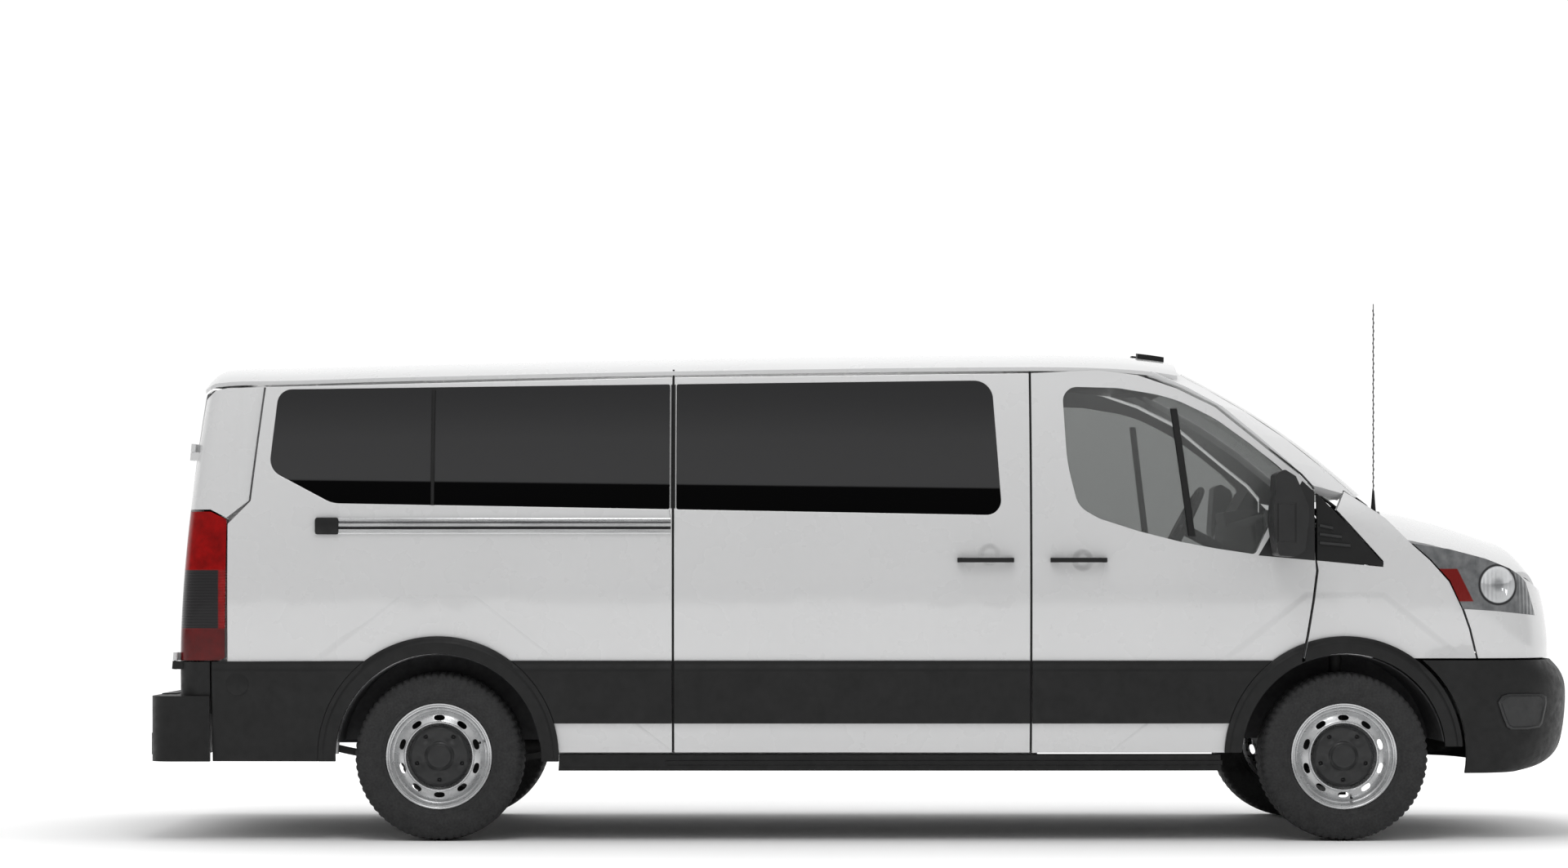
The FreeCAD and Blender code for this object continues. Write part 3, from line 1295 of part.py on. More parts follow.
def wheel_nodes(side, axle, name):
    tyre = feature("tyre_" + name, revolve_profile(tyre_profile(), side, axle))
    wheel = feature("rim_" + name, Part.makeCompound([rim(side, axle), hub_cap(side, axle)]))
    return [tyre, wheel]


def knuckle(side):
    """Hub carrier with its spindle, strut tube and steering arm."""
    centre = side * s.track / 2
    hub = s.tyre_width / 2 * 0.82
    spindle_end = s.track / 2 + hub * 0.48
    inner = s.track / 2 - s.tyre_width / 2 - s.wall * 0.1
    spindle = Part.makeCylinder(s.spindle_radius, spindle_end - inner, Vector(FRONT_AXLE, side * inner, s.tyre_radius),
                                Vector(0, side, 0))
    disc = Part.makeCylinder(s.rim_radius * 0.6, s.seam * 1.3, Vector(FRONT_AXLE, side * (s.track / 2 - s.wall * 0.4), s.tyre_radius),
                             Vector(0, side, 0))
    upright = Part.makeBox(s.wall, s.wall, s.wall * 4.2,
                           Vector(FRONT_AXLE - s.wall / 2, min(side * (inner - s.wall * 0.2), side * (inner + s.wall * 0.8)),
                                  s.knuckle_height + s.seam * 2))
    seat = Vector(FRONT_AXLE, side * s.knuckle_half, s.knuckle_height)
    neck = Part.makeCylinder(s.wall * 0.3, s.wall * 0.6, seat, Vector(0, 0, 1))
    ball = Part.makeSphere(s.wall * 0.3, seat).fuse(neck)
    lower = Part.makeBox(s.wall * 0.7, s.knuckle_half - inner + s.wall * 0.5, s.wall * 0.4,
                         Vector(FRONT_AXLE - s.wall * 0.35, min(side * inner, side * (s.knuckle_half + s.wall * 0.5)),
                                s.knuckle_height + s.seam * 2.5))
    strut_foot = Vector(FRONT_AXLE, side * (inner - s.wall * 0.7), s.knuckle_height + s.wall * 4)
    strut_head = Vector(FRONT_AXLE, side * s.strut_top_half, s.strut_top)
    line = strut_head - strut_foot
    strut = Part.makeCylinder(s.strut_radius, line.Length - s.seam, strut_foot, line)
    clamp = Part.makeBox(s.wall, s.wall * 1.2, s.wall * 1.1,
                         Vector(FRONT_AXLE - s.wall / 2, min(side * (inner - s.wall * 0.9), side * (inner + s.wall * 0.3)),
                                s.knuckle_height + s.wall * 3.4))
    arm = Part.makeBox(s.wall * 2.4, s.wall * 0.5, s.wall * 0.4,
                       Vector(FRONT_AXLE - s.wall * 2.6, min(side * (inner - s.wall * 0.1), side * (inner + s.wall * 0.4)),
                              s.tyre_radius - s.wall))
    return spindle.fuse([disc, upright, ball, lower, strut, clamp, arm])


def rear_axle():
    """Axle beam with differential, spindles, leaf springs and propeller shaft."""
    half = s.track / 2
    end = half + s.tyre_width / 2 * 0.82 * 0.48
    tube_end = half - s.wall * 0.4
    z = s.tyre_radius
    tube = Part.makeCylinder(s.axle_tube, 2 * tube_end, Vector(REAR_AXLE, -tube_end, z), Vector(0, 1, 0))
    spindle = Part.makeCylinder(s.spindle_radius, 2 * end, Vector(REAR_AXLE, -end, z), Vector(0, 1, 0))
    case = Part.makeSphere(s.axle_tube * 3.1, Vector(REAR_AXLE, 0, z))
    gearbox = FRONT_AXLE - s.engine_length * 1.2
    nose = s.axle_tube * 3
    start = Vector(REAR_AXLE + nose * 0.8, 0, z)
    run = Vector(gearbox, 0, z + s.wall * 1.2) - start
    shaft = Part.makeCylinder(s.axle_tube * 0.8, run.Length, start, run)
    pieces = [spindle, case, shaft]
    for side in SIDES:
        y = side * s.spring_half - s.spring_width / 2
        front = REAR_AXLE + s.rear_overhang * 0.62
        back = REAR_AXLE - s.rear_overhang * 0.56
        rise = s.wall * 2
        low = z - s.axle_tube - s.wall * 0.15
        arc = Part.Arc(Vector(front, y, low + rise), Vector(REAR_AXLE, y, low), Vector(back, y, low + rise)).toShape()
        band = arc.extrude(Vector(0, s.spring_width, 0)).extrude(Vector(0, 0, s.wall * 0.45))
        pieces.append(band)
    return tube.fuse(pieces)


def feet_of_springs(side):
    """Hanger under the chassis rail at each end of a leaf spring."""
    low = s.tyre_radius - s.axle_tube - s.wall * 0.15 + s.wall * 2 + s.wall * 0.45
    hangers = []
    for x in (REAR_AXLE + s.rear_overhang * 0.62, REAR_AXLE - s.rear_overhang * 0.56):
        hangers.append(Part.makeBox(s.wall, s.spring_half - s.rail_half + s.spring_width / 2,
                                    s.floor_height - s.floor_thickness - low - s.seat_gap * 2,
                                    Vector(x - s.wall / 2, min(side * s.rail_half, side * (s.spring_half + s.spring_width / 2)),
                                           low + s.seat_gap)))
    return hangers


def chassis_frame():
    """Two long rails joined by cross-members, with spring hangers."""
    x0 = REAR_TIP + s.rear_set * 1.1 + s.seat_gap
    x1 = rail_front()
    top = rail_top()
    pieces = []
    for side in SIDES:
        y = side * s.rail_half - s.rail_width / 2
        pieces.append(Part.makeBox(x1 - x0, s.rail_width, s.rail_depth, Vector(x0, y, top - s.rail_depth)))
        pieces += feet_of_springs(side)
    stations = (x0, REAR_AXLE + s.rear_overhang * 0.5, 0, FRONT_AXLE - s.front_overhang * 0.72, x1 - s.wall)
    for x in stations:
        pieces.append(Part.makeBox(s.wall, 2 * s.rail_half, s.rail_depth * 0.6,
                                   Vector(x, -s.rail_half, top - s.rail_depth)))
    engine_foot = s.floor_height - s.engine_height * 0.24 - s.seat_gap
    for x in (FRONT_AXLE + s.wall * 2, FRONT_AXLE + s.wall * 8):
        pieces.append(Part.makeBox(s.wall, 2 * s.rail_half, s.wall * 0.6, Vector(x, -s.rail_half, engine_foot - s.wall * 0.6)))
    return pieces[0].fuse(pieces[1:])


def front_suspension():
    """Sub-frame and the two lower arms with their ball seats."""
    pieces = []
    z = s.knuckle_height - s.wall * 0.5
    top = s.floor_height - s.floor_thickness - s.seat_gap - s.rail_depth - s.seat_gap
    beam = Part.makeBox(s.wall * 3, 2 * (s.rail_half + s.rail_width / 2), s.wall * 0.8,
                        Vector(FRONT_AXLE - s.wall * 1.5, -(s.rail_half + s.rail_width / 2), z))
    for side in SIDES:
        inner = side * s.rail_half
        outer = side * (s.knuckle_half + s.wall * 0.2)
        plan = [(FRONT_AXLE - s.wall * 1.4, inner), (FRONT_AXLE + s.wall * 1.4, inner),
                (FRONT_AXLE + s.wall * 0.4, outer), (FRONT_AXLE - s.wall * 0.4, outer)]
        arm = prism(plan, 0, on_top, z, z + s.wall * 0.45)
        seat = Vector(FRONT_AXLE, side * s.knuckle_half, s.knuckle_height)
        pieces.append(arm.cut(Part.makeSphere(s.wall * 0.3 + s.seat_gap, seat)))
        leg = Part.makeBox(s.wall, s.rail_width, top - z, Vector(FRONT_AXLE - s.wall / 2, inner - s.rail_width / 2, z))
        pieces.append(leg)
    return beam.fuse(pieces)


# Floor and wheel housings
def housing(side, axle, inner):
    """Round wheel housing with its inner wall."""
    outer_y = side_reach(axle, s.tyre_radius) - s.seam * 2
    start = Vector(axle, side * inner, s.tyre_radius)
    drum = Part.makeCylinder(s.liner_radius, outer_y - inner, start, Vector(0, side, 0))
    room = Part.makeCylinder(s.liner_radius - s.liner_thickness, outer_y - inner,
                             start + Vector(0, side * s.liner_thickness, 0), Vector(0, side, 0))
    return drum, room


def floor_edge(x):
    """Half width of the floor, up to the inner frame."""
    return side_reach(x, s.floor_height - s.floor_thickness) - FRAME_OUT - s.frame_depth - s.seat_gap * 2


def strut_tower(side):
    """Hollow tower over the strut, closed at its top."""
    base = Vector(FRONT_AXLE, side * s.strut_top_half, s.tyre_radius + s.liner_radius * 0.8)
    height = s.strut_top + s.wall * 0.3 - base.z
    tower = Part.makeCylinder(s.wall * 1.35, height + s.seam, base, Vector(0, 0, 1))
    room = Part.makeCylinder(s.wall * 1.1, height, base, Vector(0, 0, 1))
    return tower, room


def floor_pan():
    """Cabin floor with toe board, firewall and the four wheel housings."""
    x0 = REAR_TIP + s.rear_set * 1.75
    x1 = FRONT_AXLE - s.arch_radius * 1.1
    low = s.floor_height - s.floor_thickness
    stations = spaced(x0, x1, 9)
    plan = [(x, floor_edge(x)) for x in stations] + [(x, -floor_edge(x)) for x in reversed(stations)]
    plate = prism(plan, 0, on_top, low, s.floor_height)
    narrow = s.track / 2 - s.tyre_width - s.wall * 1.6
    wall_x = FRONT_AXLE - s.wall * 1.2
    half = s.floor_half_width - s.wall * 2
    toe = Part.makeBox(wall_x - x1, 2 * narrow, s.floor_thickness, Vector(x1, -narrow, low))
    firewall = Part.makeBox(s.wall * 0.4, 2 * half, s.cowl_height - low - s.wall * 1.2,
                            Vector(wall_x - s.wall * 0.4, -half, low))
    edge = rear_edge_half(s.rear_door_bottom) - s.wall - s.seam
    back = REAR_TIP + s.rear_set * 1.12
    tail = Part.makeBox(x0 - back, 2 * edge, s.rear_door_bottom - s.seam - low, Vector(back, -edge, low))
    drums = []
    rooms = []
    rear_inner = s.track / 2 - s.tyre_width / 2 - s.wall * 0.7
    for side in SIDES:
        for axle, inner in ((FRONT_AXLE, narrow), (REAR_AXLE, rear_inner)):
            drum, room = housing(side, axle, inner)
            drums.append(drum)
            rooms.append(room)
        tower, hollow = strut_tower(side)
        drums.append(tower)
        rooms.append(hollow)
    body = plate.fuse([toe, firewall, tail] + drums).cut(Part.makeCompound(rooms))
    return body.common(above(s.tyre_radius + s.wall))


def sills():
    """Black sills below the doors."""
    shapes = []
    for side in SIDES:
        x0 = REAR_AXLE + s.arch_radius
        x1 = FRONT_AXLE - s.arch_radius
        high = s.rocker_bottom - s.seam
        points = [(x0, s.sill_bottom), (x0, high), (x1, high), (x1, s.sill_bottom)]
        sill = side_panel(side, points, 0, s.wall + s.frame_depth + s.seam, s.seam / 2)
        sill = sill.cut(clearance_round(side, REAR_AXLE))
        shapes.append(sill.cut(arch_cylinder(side, FRONT_AXLE, s.arch_radius + s.flare_width)))
    return Part.makeCompound(shapes)


def build_primitives():
    """Pieces of plain form, bound to the sheet."""
    engine = box("engine", ("sizes.engine_length", "sizes.engine_width", "sizes.engine_height"),
                 (FRONT_AXLE_EXPR + " + sizes.engine_length * 0.42", "0",
                  "sizes.floor_height + sizes.engine_height * 0.26"))
    tank_size = ("sizes.tank_length", "sizes.tank_width", "sizes.tank_height")
    tank = box("tank_block", tank_size, ("0", "sizes.rail_half + sizes.rail_width + sizes.tank_width / 2",
                                         "sizes.floor_height - sizes.floor_thickness - sizes.tank_height / 2 - sizes.seat_gap"))
    rounded = doc.addObject("Part::Fillet", "fuel_tank")
    rounded.Base = tank
    doc.recompute()
    rounded.Edges = [(index, s.wall * 0.5, s.wall * 0.5) for index in (1, 3, 5, 7)]
    return [engine, rounded]


def aerial():
    """Whip aerial that stands on the cowl's right end."""
    foot = Vector(FRONT_AXLE + s.wall * 2.35, -s.screen_half_width * 0.97, s.cowl_height - s.wall)
    base = Part.makeCone(s.wall * 0.26, s.wall * 0.07, s.wall * 2.4, foot)
    mast = Part.makeCylinder(s.hinge_pin * 0.35, s.aerial_height - s.wall, foot + Vector(0, 0, s.wall), Vector(0, 0, 1))
    ground = cowl()
    ground.translate(Vector(0, 0, s.seat_gap))
    return max(base.fuse(mast).cut(ground).Solids, key=lambda solid: solid.CenterOfMass.z)


NODES = []


def add(name, shape):
    NODES.append(feature(name, shape))


def cowl():
    """Plastic panel between windscreen and bonnet, cut out round the bonnet's arms."""
    half = s.screen_half_width - s.seam
    grid = []
    for share in spaced(0, 1, 5):
        line = []
        for y in spaced(-half, half, 9):
            top = screen_point(0.0, y)
            edge_x = bonnet_start() + s.wall * 1.0 * (1 - (y / s.screen_half_width) ** 2)
            end = Vector(edge_x - s.seam * 1.4, y, bonnet_height(edge_x, y) - s.bonnet_thickness - s.seam)
            foot = Vector(top.x - s.seam, y, top.z - s.seam * 2.2)
            line.append(foot + (end - foot) * share)
        grid.append(line)
    top = skin(grid)
    panel = top.extrude(Vector(0, 0, -s.seam))
    deep = top.extrude(Vector(0, 0, -s.wall))
    x, z = bonnet_axis()
    reach = s.hinge_barrel
    inner = s.bonnet_half_width * 0.86 - s.hinge_length * 0.45
    for side in SIDES:
        panel = panel.cut(sided_box(side, x - s.wall * 0.2, x + s.wall * 3, inner, inner + s.hinge_length * 0.9,
                                    z - s.wall * 3, z + s.wall * 3))
        foot = sided_box(side, x - reach, x + reach, half - s.wall, half - s.seam,
                         z - reach * 3 + s.seat_gap, z + s.wall)
        panel = panel.fuse(deep.common(foot))
    return panel


def roof_lamps():
    """Five small clearance lamps along the front of the roof."""
    shapes = []
    rise = s.wall * 0.35
    slab = roof_slab(rise - s.seat_gap, rise)
    head = screen_edge(1)
    for share in (-0.72, -0.2, 0, 0.2, 0.72):
        y = share * s.screen_half_width
        x = head.x - s.wall * (1.5 - 0.5 * (1 - abs(share)))
        half = s.wall * 0.7
        plan = [(x - s.wall, y - half), (x + s.wall * 0.9, y - half * 0.5), (x + s.wall * 0.9, y + half * 0.5),
                (x - s.wall, y + half)]
        shapes.append(slab.common(prism(plan, s.seam, on_top, s.belt_height, s.gutter_height + OVERRUN)))
    return Part.makeCompound(shapes)


def door_rail():
    """Bright rail of the sliding door on the right quarter panel."""
    z = s.belt_height - s.wall * 1.2
    x0 = SLIDER_REAR - s.slider_length
    x0 = max(x0, CORNER_SEAM + s.wall * 3.2)
    points = [(x0, z - s.wall * 0.5), (x0, z + s.wall * 0.5), (SLIDER_REAR - s.seam, z + s.wall * 0.6),
              (SLIDER_REAR - s.seam, z - s.wall * 0.5)]
    return side_panel(-1, points, 0, s.cladding_stand - s.seat_gap, s.cladding_stand)


def seat(x, y, width, floor):
    """One seat, seen from the side as cushion and back, on a plain pedestal."""
    z = floor + s.seat_height
    c = s.cushion
    lean = s.seat_back * 0.22
    profile = [(x, z), (x, z - c), (x - s.seat_depth, z - c), (x - s.seat_depth - lean * 1.05 - c * 0.7, z + s.seat_back),
               (x - s.seat_depth - lean * 1.05, z + s.seat_back + c * 0.2), (x - s.seat_depth - lean * 0.7, z + s.seat_back),
               (x - s.seat_depth + c * 0.35, z + c * 0.2)]
    return prism(profile, (s.wall * 0.6, s.wall * 0.4, s.wall * 0.5, s.wall * 0.4, s.wall * 0.4, s.wall * 0.6, s.wall * 0.5),
                 on_side, y - width / 2, y + width / 2)


def seat_base(x, y, width, floor):
    z = floor + s.seat_gap
    top = floor + s.seat_height - s.cushion - s.seat_gap
    return Part.makeBox(s.seat_depth * 0.7, width * 0.7, top - z, Vector(x - s.seat_depth * 0.9, y - width * 0.35, z))


def front_seats():
    x = DOOR_REAR + s.seat_depth * 1.05
    y = s.track * 0.25
    seats = []
    bases = []
    for side in SIDES:
        seats.append(seat(x, side * y, s.seat_width * 1.15, s.floor_height + s.wall))
        bases.append(seat_base(x, side * y, s.seat_width * 1.15, s.floor_height).fuse(
            seat_base(x, side * y, s.seat_width * 1.1, s.floor_height + s.wall)))
    return seats, bases


def bench_rows():
    pitch = (DOOR_REAR - REAR_AXLE) * 0.33
    seats = []
    bases = []
    for row in range(4):
        x = DOOR_REAR - s.seat_depth * 0.35 - pitch * row
        places = (1.5, 0.5, -0.9) if row < 3 else (1.5, 0.5, -0.5, -1.5)
        for place in places:
            y = place * (s.seat_width + s.seam)
            if row == 3:
                y = place * (s.seat_width - s.seam * 2)
            width = s.seat_width if row < 3 else s.seat_width - s.seam * 3
            seats.append(seat(x, y, width, s.floor_height))
            bases.append(seat_base(x, y * 0.6, width * 0.7, s.floor_height))
    return seats, bases


def dashboard():
    """Dashboard across the cab, with a hood over the instruments."""
    front = FRONT_AXLE - s.wall * 1.6 - s.seat_gap
    depth = s.wall * 4.2
    z = s.belt_height
    half = s.floor_half_width - s.wall * 2.6
    profile = [(front, z - s.wall * 0.6), (front - depth * 0.5, z), (front - depth, z - s.wall * 0.7),
               (front - depth * 0.92, z - s.wall * 4), (front - depth * 0.5, z - s.wall * 5.6), (front, z - s.wall * 5.6)]
    board = prism(profile, s.wall * 0.5, on_side, -half, half)
    hood = prism([(front - depth * 1.05, z + s.wall * 0.2), (front - depth * 0.5, z + s.wall * 0.5), (front - depth * 0.3, z - s.wall * 0.5),
                  (front - depth * 1.0, z - s.wall * 0.9)], s.seam, on_side, s.track * 0.25 - s.wall * 3, s.track * 0.25 + s.wall * 3)
    column_foot, column = steering_axis()
    tube = Part.makeCylinder(s.wall * 0.42, s.wall * 3.6, column_foot - column * s.wall * 0.4, column * -1)
    shaft = Part.makeCylinder(s.hinge_barrel, s.wall * 1.2, column_foot - column * s.wall, column)
    return board.fuse([hood, tube, shaft])


def steering_axis():
    """Centre of the steering wheel and the column's direction towards the driver."""
    tilt = math.radians(28)
    centre = Vector(FRONT_AXLE - s.wall * 8.9, s.track * 0.25, s.belt_height - s.wall * 0.9)
    return centre, Vector(-math.cos(tilt), 0, math.sin(tilt))


def steering_wheel():
    centre, column = steering_axis()
    ring = Part.makeTorus(s.wheel_rim_radius, s.wheel_rim_tube, centre, column)
    hub = Part.makeCylinder(s.wall * 0.95, s.wall * 0.7, centre - column * (s.wall * 0.3), column)
    across = Vector(0, 1, 0)
    spokes = []
    for angle in (0, 180, 250, 290):
        turn = Rotation(column, angle)
        direction = turn.multVec(across)
        spokes.append(Part.makeCylinder(s.wheel_rim_tube * 0.8, s.wheel_rim_radius, centre, direction))
    bore = Part.makeCylinder(s.hinge_barrel + s.running_gap, s.wall * 0.6, centre - column * (s.wall * 0.32), column)
    return ring.fuse([hub] + spokes).cut(bore)


def exhaust():
    """Silencer and pipe under the floor, ending behind the rear wheel."""
    y = -s.rail_half - s.rail_width * 1.9
    z = s.floor_height - s.floor_thickness - s.wall * 2
    box_x = SLIDER_REAR + s.wall * 6
    silencer = Part.makeCylinder(s.wall * 1.5, s.wall * 8, Vector(box_x, y, z), Vector(1, 0, 0))
    pipe = Part.makeCylinder(s.wall * 0.5, FRONT_AXLE - s.wall * 8 - box_x, Vector(box_x, y, z), Vector(1, 0, 0))
    hanger = Part.makeBox(s.seam, s.seam, s.wall * 2 - s.seat_gap, Vector(box_x + s.wall * 4, y, z))
    return silencer.fuse([pipe, hanger])


def pane(side, window):
    points, radii = window
    return side_panel(side, points, radii, s.glass_thickness, -2, s.seat_gap)


def side_glass():
    panes = [pane(side, quarter_window()) for side in SIDES]
    return Part.makeCompound(panes + [pane(1, slider_window())])


def body_side(side, points_list, windows, arches):
    """A body-side panel with its windows and wheel arches cut."""
    panel = side_panel(side, points_list, 0, s.wall)
    for points, radii in windows:
        panel = panel.cut(side_prism(side, points, radii))
    for axle in arches:
        panel = panel.cut(arch_cylinder(side, axle, s.arch_radius))
    return panel


def left_side_points():
    """On the left, the fixed side runs forward to the front door."""
    points = quarter_points()
    front = DOOR_REAR - s.seam / 2
    return [(front, s.rocker_bottom), (front, roof_edge(front))] + points[2:]


def build_features():
    add("quarter_panel_right", body_side(-1, quarter_points(), [quarter_window()], [REAR_AXLE]))
    add("side_panel_left", body_side(1, left_side_points(), [quarter_window(), slider_window()], [REAR_AXLE]))
    add("sliding_door", body_side(-1, slider_points(), [slider_window()], []))
    add("sliding_door_glass", pane(-1, slider_window()))
    add("side_glass", side_glass())
    add("rear_corners", rear_corner_nodes())
    add("roof", roof())
    add("screen_frame", screen_frame())
    add("windscreen", windscreen())
    add("cowl", cowl())
    add("aerial", aerial())
    add("body_frame", body_frame())
    add("floor_pan", floor_pan())
    add("fenders", Part.makeCompound([fender(side) for side in SIDES]))
    add("nose_panel", nose_panel())
    add("grille", grille())
    add("front_bumper", front_bumper())
    add("rear_bumper", rear_bumper())
    add("headlamps", Part.makeCompound([headlamp(side) for side in SIDES]))
    add("tail_lamps", Part.makeCompound([tail_lamp(side) for side in SIDES]))
    add("side_cladding", fixed_cladding())
    add("sills", sills())
    add("door_rail", door_rail())
    add("roof_lamps", roof_lamps())
    add("dashboard", dashboard())
    seats, bases = front_seats()
    add("front_seats", Part.makeCompound(seats))
    add("front_seat_bases", Part.makeCompound(bases))
    seats, bases = bench_rows()
    add("bench_seats", Part.makeCompound(seats))
    add("bench_bases", Part.makeCompound(bases))
    add("chassis_frame", chassis_frame())
    add("exhaust", exhaust())
    add("rear_axle", rear_axle())
    add("front_suspension", front_suspension())
    add("bonnet", bonnet())
    add("steering_wheel", steering_wheel())
    for side in SIDES:
        name = SIDE_NAMES[side]
        add("front_door_" + name, front_door(side))
        add("front_door_glass_" + name, front_door_glass(side))
        add("door_cladding_" + name, door_cladding(side))
        add("mirror_" + name, mirror(side))
        add("rear_door_" + name, rear_door(side))
        add("rear_door_glass_" + name, rear_glass(side))
        add("knuckle_" + name, knuckle(side))
        for axle, place in ((FRONT_AXLE, "front"), (REAR_AXLE, "rear")):
            NODES.extend(wheel_nodes(side, axle, place + "_" + name))


NODES.extend(build_primitives())
build_features()
doc.recompute()

problems = []
for obj in doc.Objects:
    if "Invalid" in obj.State or "Error" in obj.State:
        problems.append(obj.Name + " failed")
for node in NODES:
    if node.Shape.isNull() or not node.Shape.isValid() or not node.Shape.Solids:
        problems.append(node.Label + " has no valid solid")
if problems:
    raise RuntimeError("; ".join(problems))

os.makedirs("parts", exist_ok=True)
for node in NODES:
    node.Shape.exportStep("parts/" + node.Label + ".step")
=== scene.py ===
import json
import math

import bmesh
import bpy
from mathutils import Matrix, Vector


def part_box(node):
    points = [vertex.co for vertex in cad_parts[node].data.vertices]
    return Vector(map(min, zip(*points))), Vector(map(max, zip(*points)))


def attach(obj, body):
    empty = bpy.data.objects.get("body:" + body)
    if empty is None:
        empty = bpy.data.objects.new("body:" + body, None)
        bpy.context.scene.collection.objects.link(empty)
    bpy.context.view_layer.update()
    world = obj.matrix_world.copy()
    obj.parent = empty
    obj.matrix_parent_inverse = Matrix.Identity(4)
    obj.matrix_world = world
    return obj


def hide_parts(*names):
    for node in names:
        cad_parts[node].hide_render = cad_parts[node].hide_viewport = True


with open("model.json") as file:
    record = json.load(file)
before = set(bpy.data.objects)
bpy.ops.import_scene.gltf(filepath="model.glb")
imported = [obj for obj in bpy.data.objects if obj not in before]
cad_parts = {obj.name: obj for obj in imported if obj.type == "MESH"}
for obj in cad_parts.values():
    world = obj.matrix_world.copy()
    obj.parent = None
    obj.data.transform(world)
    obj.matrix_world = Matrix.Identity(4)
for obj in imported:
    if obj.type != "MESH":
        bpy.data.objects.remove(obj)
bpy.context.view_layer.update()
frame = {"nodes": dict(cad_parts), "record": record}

# The van's sizes in metres. X points forward, Y to the left and Z up.
HALF_WIDTH = 1.030
WIDEST_HEIGHT = 1.020
GUTTER_HEIGHT = 1.965
TUMBLEHOME = 0.110
SILL_TUCK = 0.038
FRONT_TAPER = 0.070
REAR_TAPER = 0.030
DOOR_REACH = 1.300
SLIDER_LENGTH = 1.479
CORNER_REACH = 0.480
ROCKER_BOTTOM = 0.367
CLADDING_TOP = 0.748
ARCH_RADIUS = 0.440
FLARE_WIDTH = 0.074
CLADDING_STAND = 0.012
NOSE_WRAP = 0.640
NOSE_ROUNDNESS = 3.6
TRACK = 1.730
TYRE_RADIUS = 0.350

# Places that follow from the frame.
FRONT_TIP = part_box("front_bumper")[1].x
REAR_TIP = -FRONT_TIP
FRONT_AXLE = (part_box("tyre_front_right")[0].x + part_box("tyre_front_right")[1].x) / 2
REAR_AXLE = (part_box("tyre_rear_right")[0].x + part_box("tyre_rear_right")[1].x) / 2
DOOR_REAR = FRONT_AXLE - DOOR_REACH
SLIDER_REAR = DOOR_REAR - SLIDER_LENGTH
CORNER_SEAM = REAR_TIP + CORNER_REACH
NOSE_START = FRONT_TIP - NOSE_WRAP
SIDES = (-1, 1)
SIDE_NAMES = {-1: "right", 1: "left"}


# Materials
def base_material(name):
    made = bpy.data.materials.new(name)
    made.use_nodes = True
    nodes = made.node_tree.nodes
    return made, nodes, made.node_tree.links, nodes["Principled BSDF"]


def noise_node(nodes, links, coords, scale, detail=3.0, stretch=None):
    """A noise texture in the object's own coordinates, stretched along an axis if asked."""
    noise = nodes.new("ShaderNodeTexNoise")
    noise.inputs["Scale"].default_value = scale
    noise.inputs["Detail"].default_value = detail
    if stretch is None:
        links.new(coords, noise.inputs["Vector"])
        return noise
    mapping = nodes.new("ShaderNodeMapping")
    mapping.inputs["Scale"].default_value = stretch
    links.new(coords, mapping.inputs["Vector"])
    links.new(mapping.outputs["Vector"], noise.inputs["Vector"])
    return noise


def ramp_node(nodes, links, source, stops):
    ramp = nodes.new("ShaderNodeValToRGB")
    ramp.color_ramp.elements[0].position = stops[0][0]
    ramp.color_ramp.elements[0].color = (*stops[0][1], 1)
    ramp.color_ramp.elements[1].position = stops[-1][0]
    ramp.color_ramp.elements[1].color = (*stops[-1][1], 1)
    for place, colour in stops[1:-1]:
        element = ramp.color_ramp.elements.new(place)
        element.color = (*colour, 1)
    links.new(source, ramp.inputs["Fac"])
    return ramp


def finish(name, dark, light, rough, scale=8.0, metallic=0.0, bump=0.1, bump_scale=400.0, coat=0.0,
           bump_distance=0.0005, stretch=None, specular=0.5):
    """A procedural finish: colour that varies between two tones, uneven roughness and a fine grain."""
    made, nodes, links, shader = base_material(name)
    coords = nodes.new("ShaderNodeTexCoord").outputs["Object"]
    tone = noise_node(nodes, links, coords, scale, 5.0, stretch)
    ramp = ramp_node(nodes, links, tone.outputs["Fac"], ((0.3, dark), (0.7, light)))
    links.new(ramp.outputs["Color"], shader.inputs["Base Color"])
    wear = noise_node(nodes, links, coords, scale * 3.7, 6.0, stretch)
    spread = ramp_node(nodes, links, wear.outputs["Fac"], ((0.3, (rough[0],) * 3), (0.7, (rough[1],) * 3)))
    links.new(spread.outputs["Color"], shader.inputs["Roughness"])
    grain = noise_node(nodes, links, coords, bump_scale, 2.0, stretch)
    relief = nodes.new("ShaderNodeBump")
    relief.inputs["Strength"].default_value = bump
    relief.inputs["Distance"].default_value = bump_distance
    links.new(grain.outputs["Fac"], relief.inputs["Height"])
    links.new(relief.outputs["Normal"], shader.inputs["Normal"])
    shader.inputs["Metallic"].default_value = metallic
    shader.inputs["Specular IOR Level"].default_value = specular
    if coat:
        shader.inputs["Coat Weight"].default_value = coat
        shader.inputs["Coat Roughness"].default_value = 0.06
    return made


def math_node(nodes, links, kind, first, second=None, third=None):
    """One arithmetic step between sockets or plain numbers."""
    made = nodes.new("ShaderNodeMath")
    made.operation = kind
    for slot, value in enumerate((first, second, third)):
        if value is None:
            continue
        if isinstance(value, (int, float)):
            made.inputs[slot].default_value = value
        else:
            links.new(value, made.inputs[slot])
    return made.outputs["Value"]


def ease_node(nodes, links, source, low, high, start, end):
    """Maps a range of the source smoothly from one value to another."""
    made = nodes.new("ShaderNodeMapRange")
    made.interpolation_type = "SMOOTHSTEP"
    links.new(source, made.inputs["Value"])
    for label, value in (("From Min", low), ("From Max", high), ("To Min", start), ("To Max", end)):
        made.inputs[label].default_value = value
    return made.outputs["Result"]


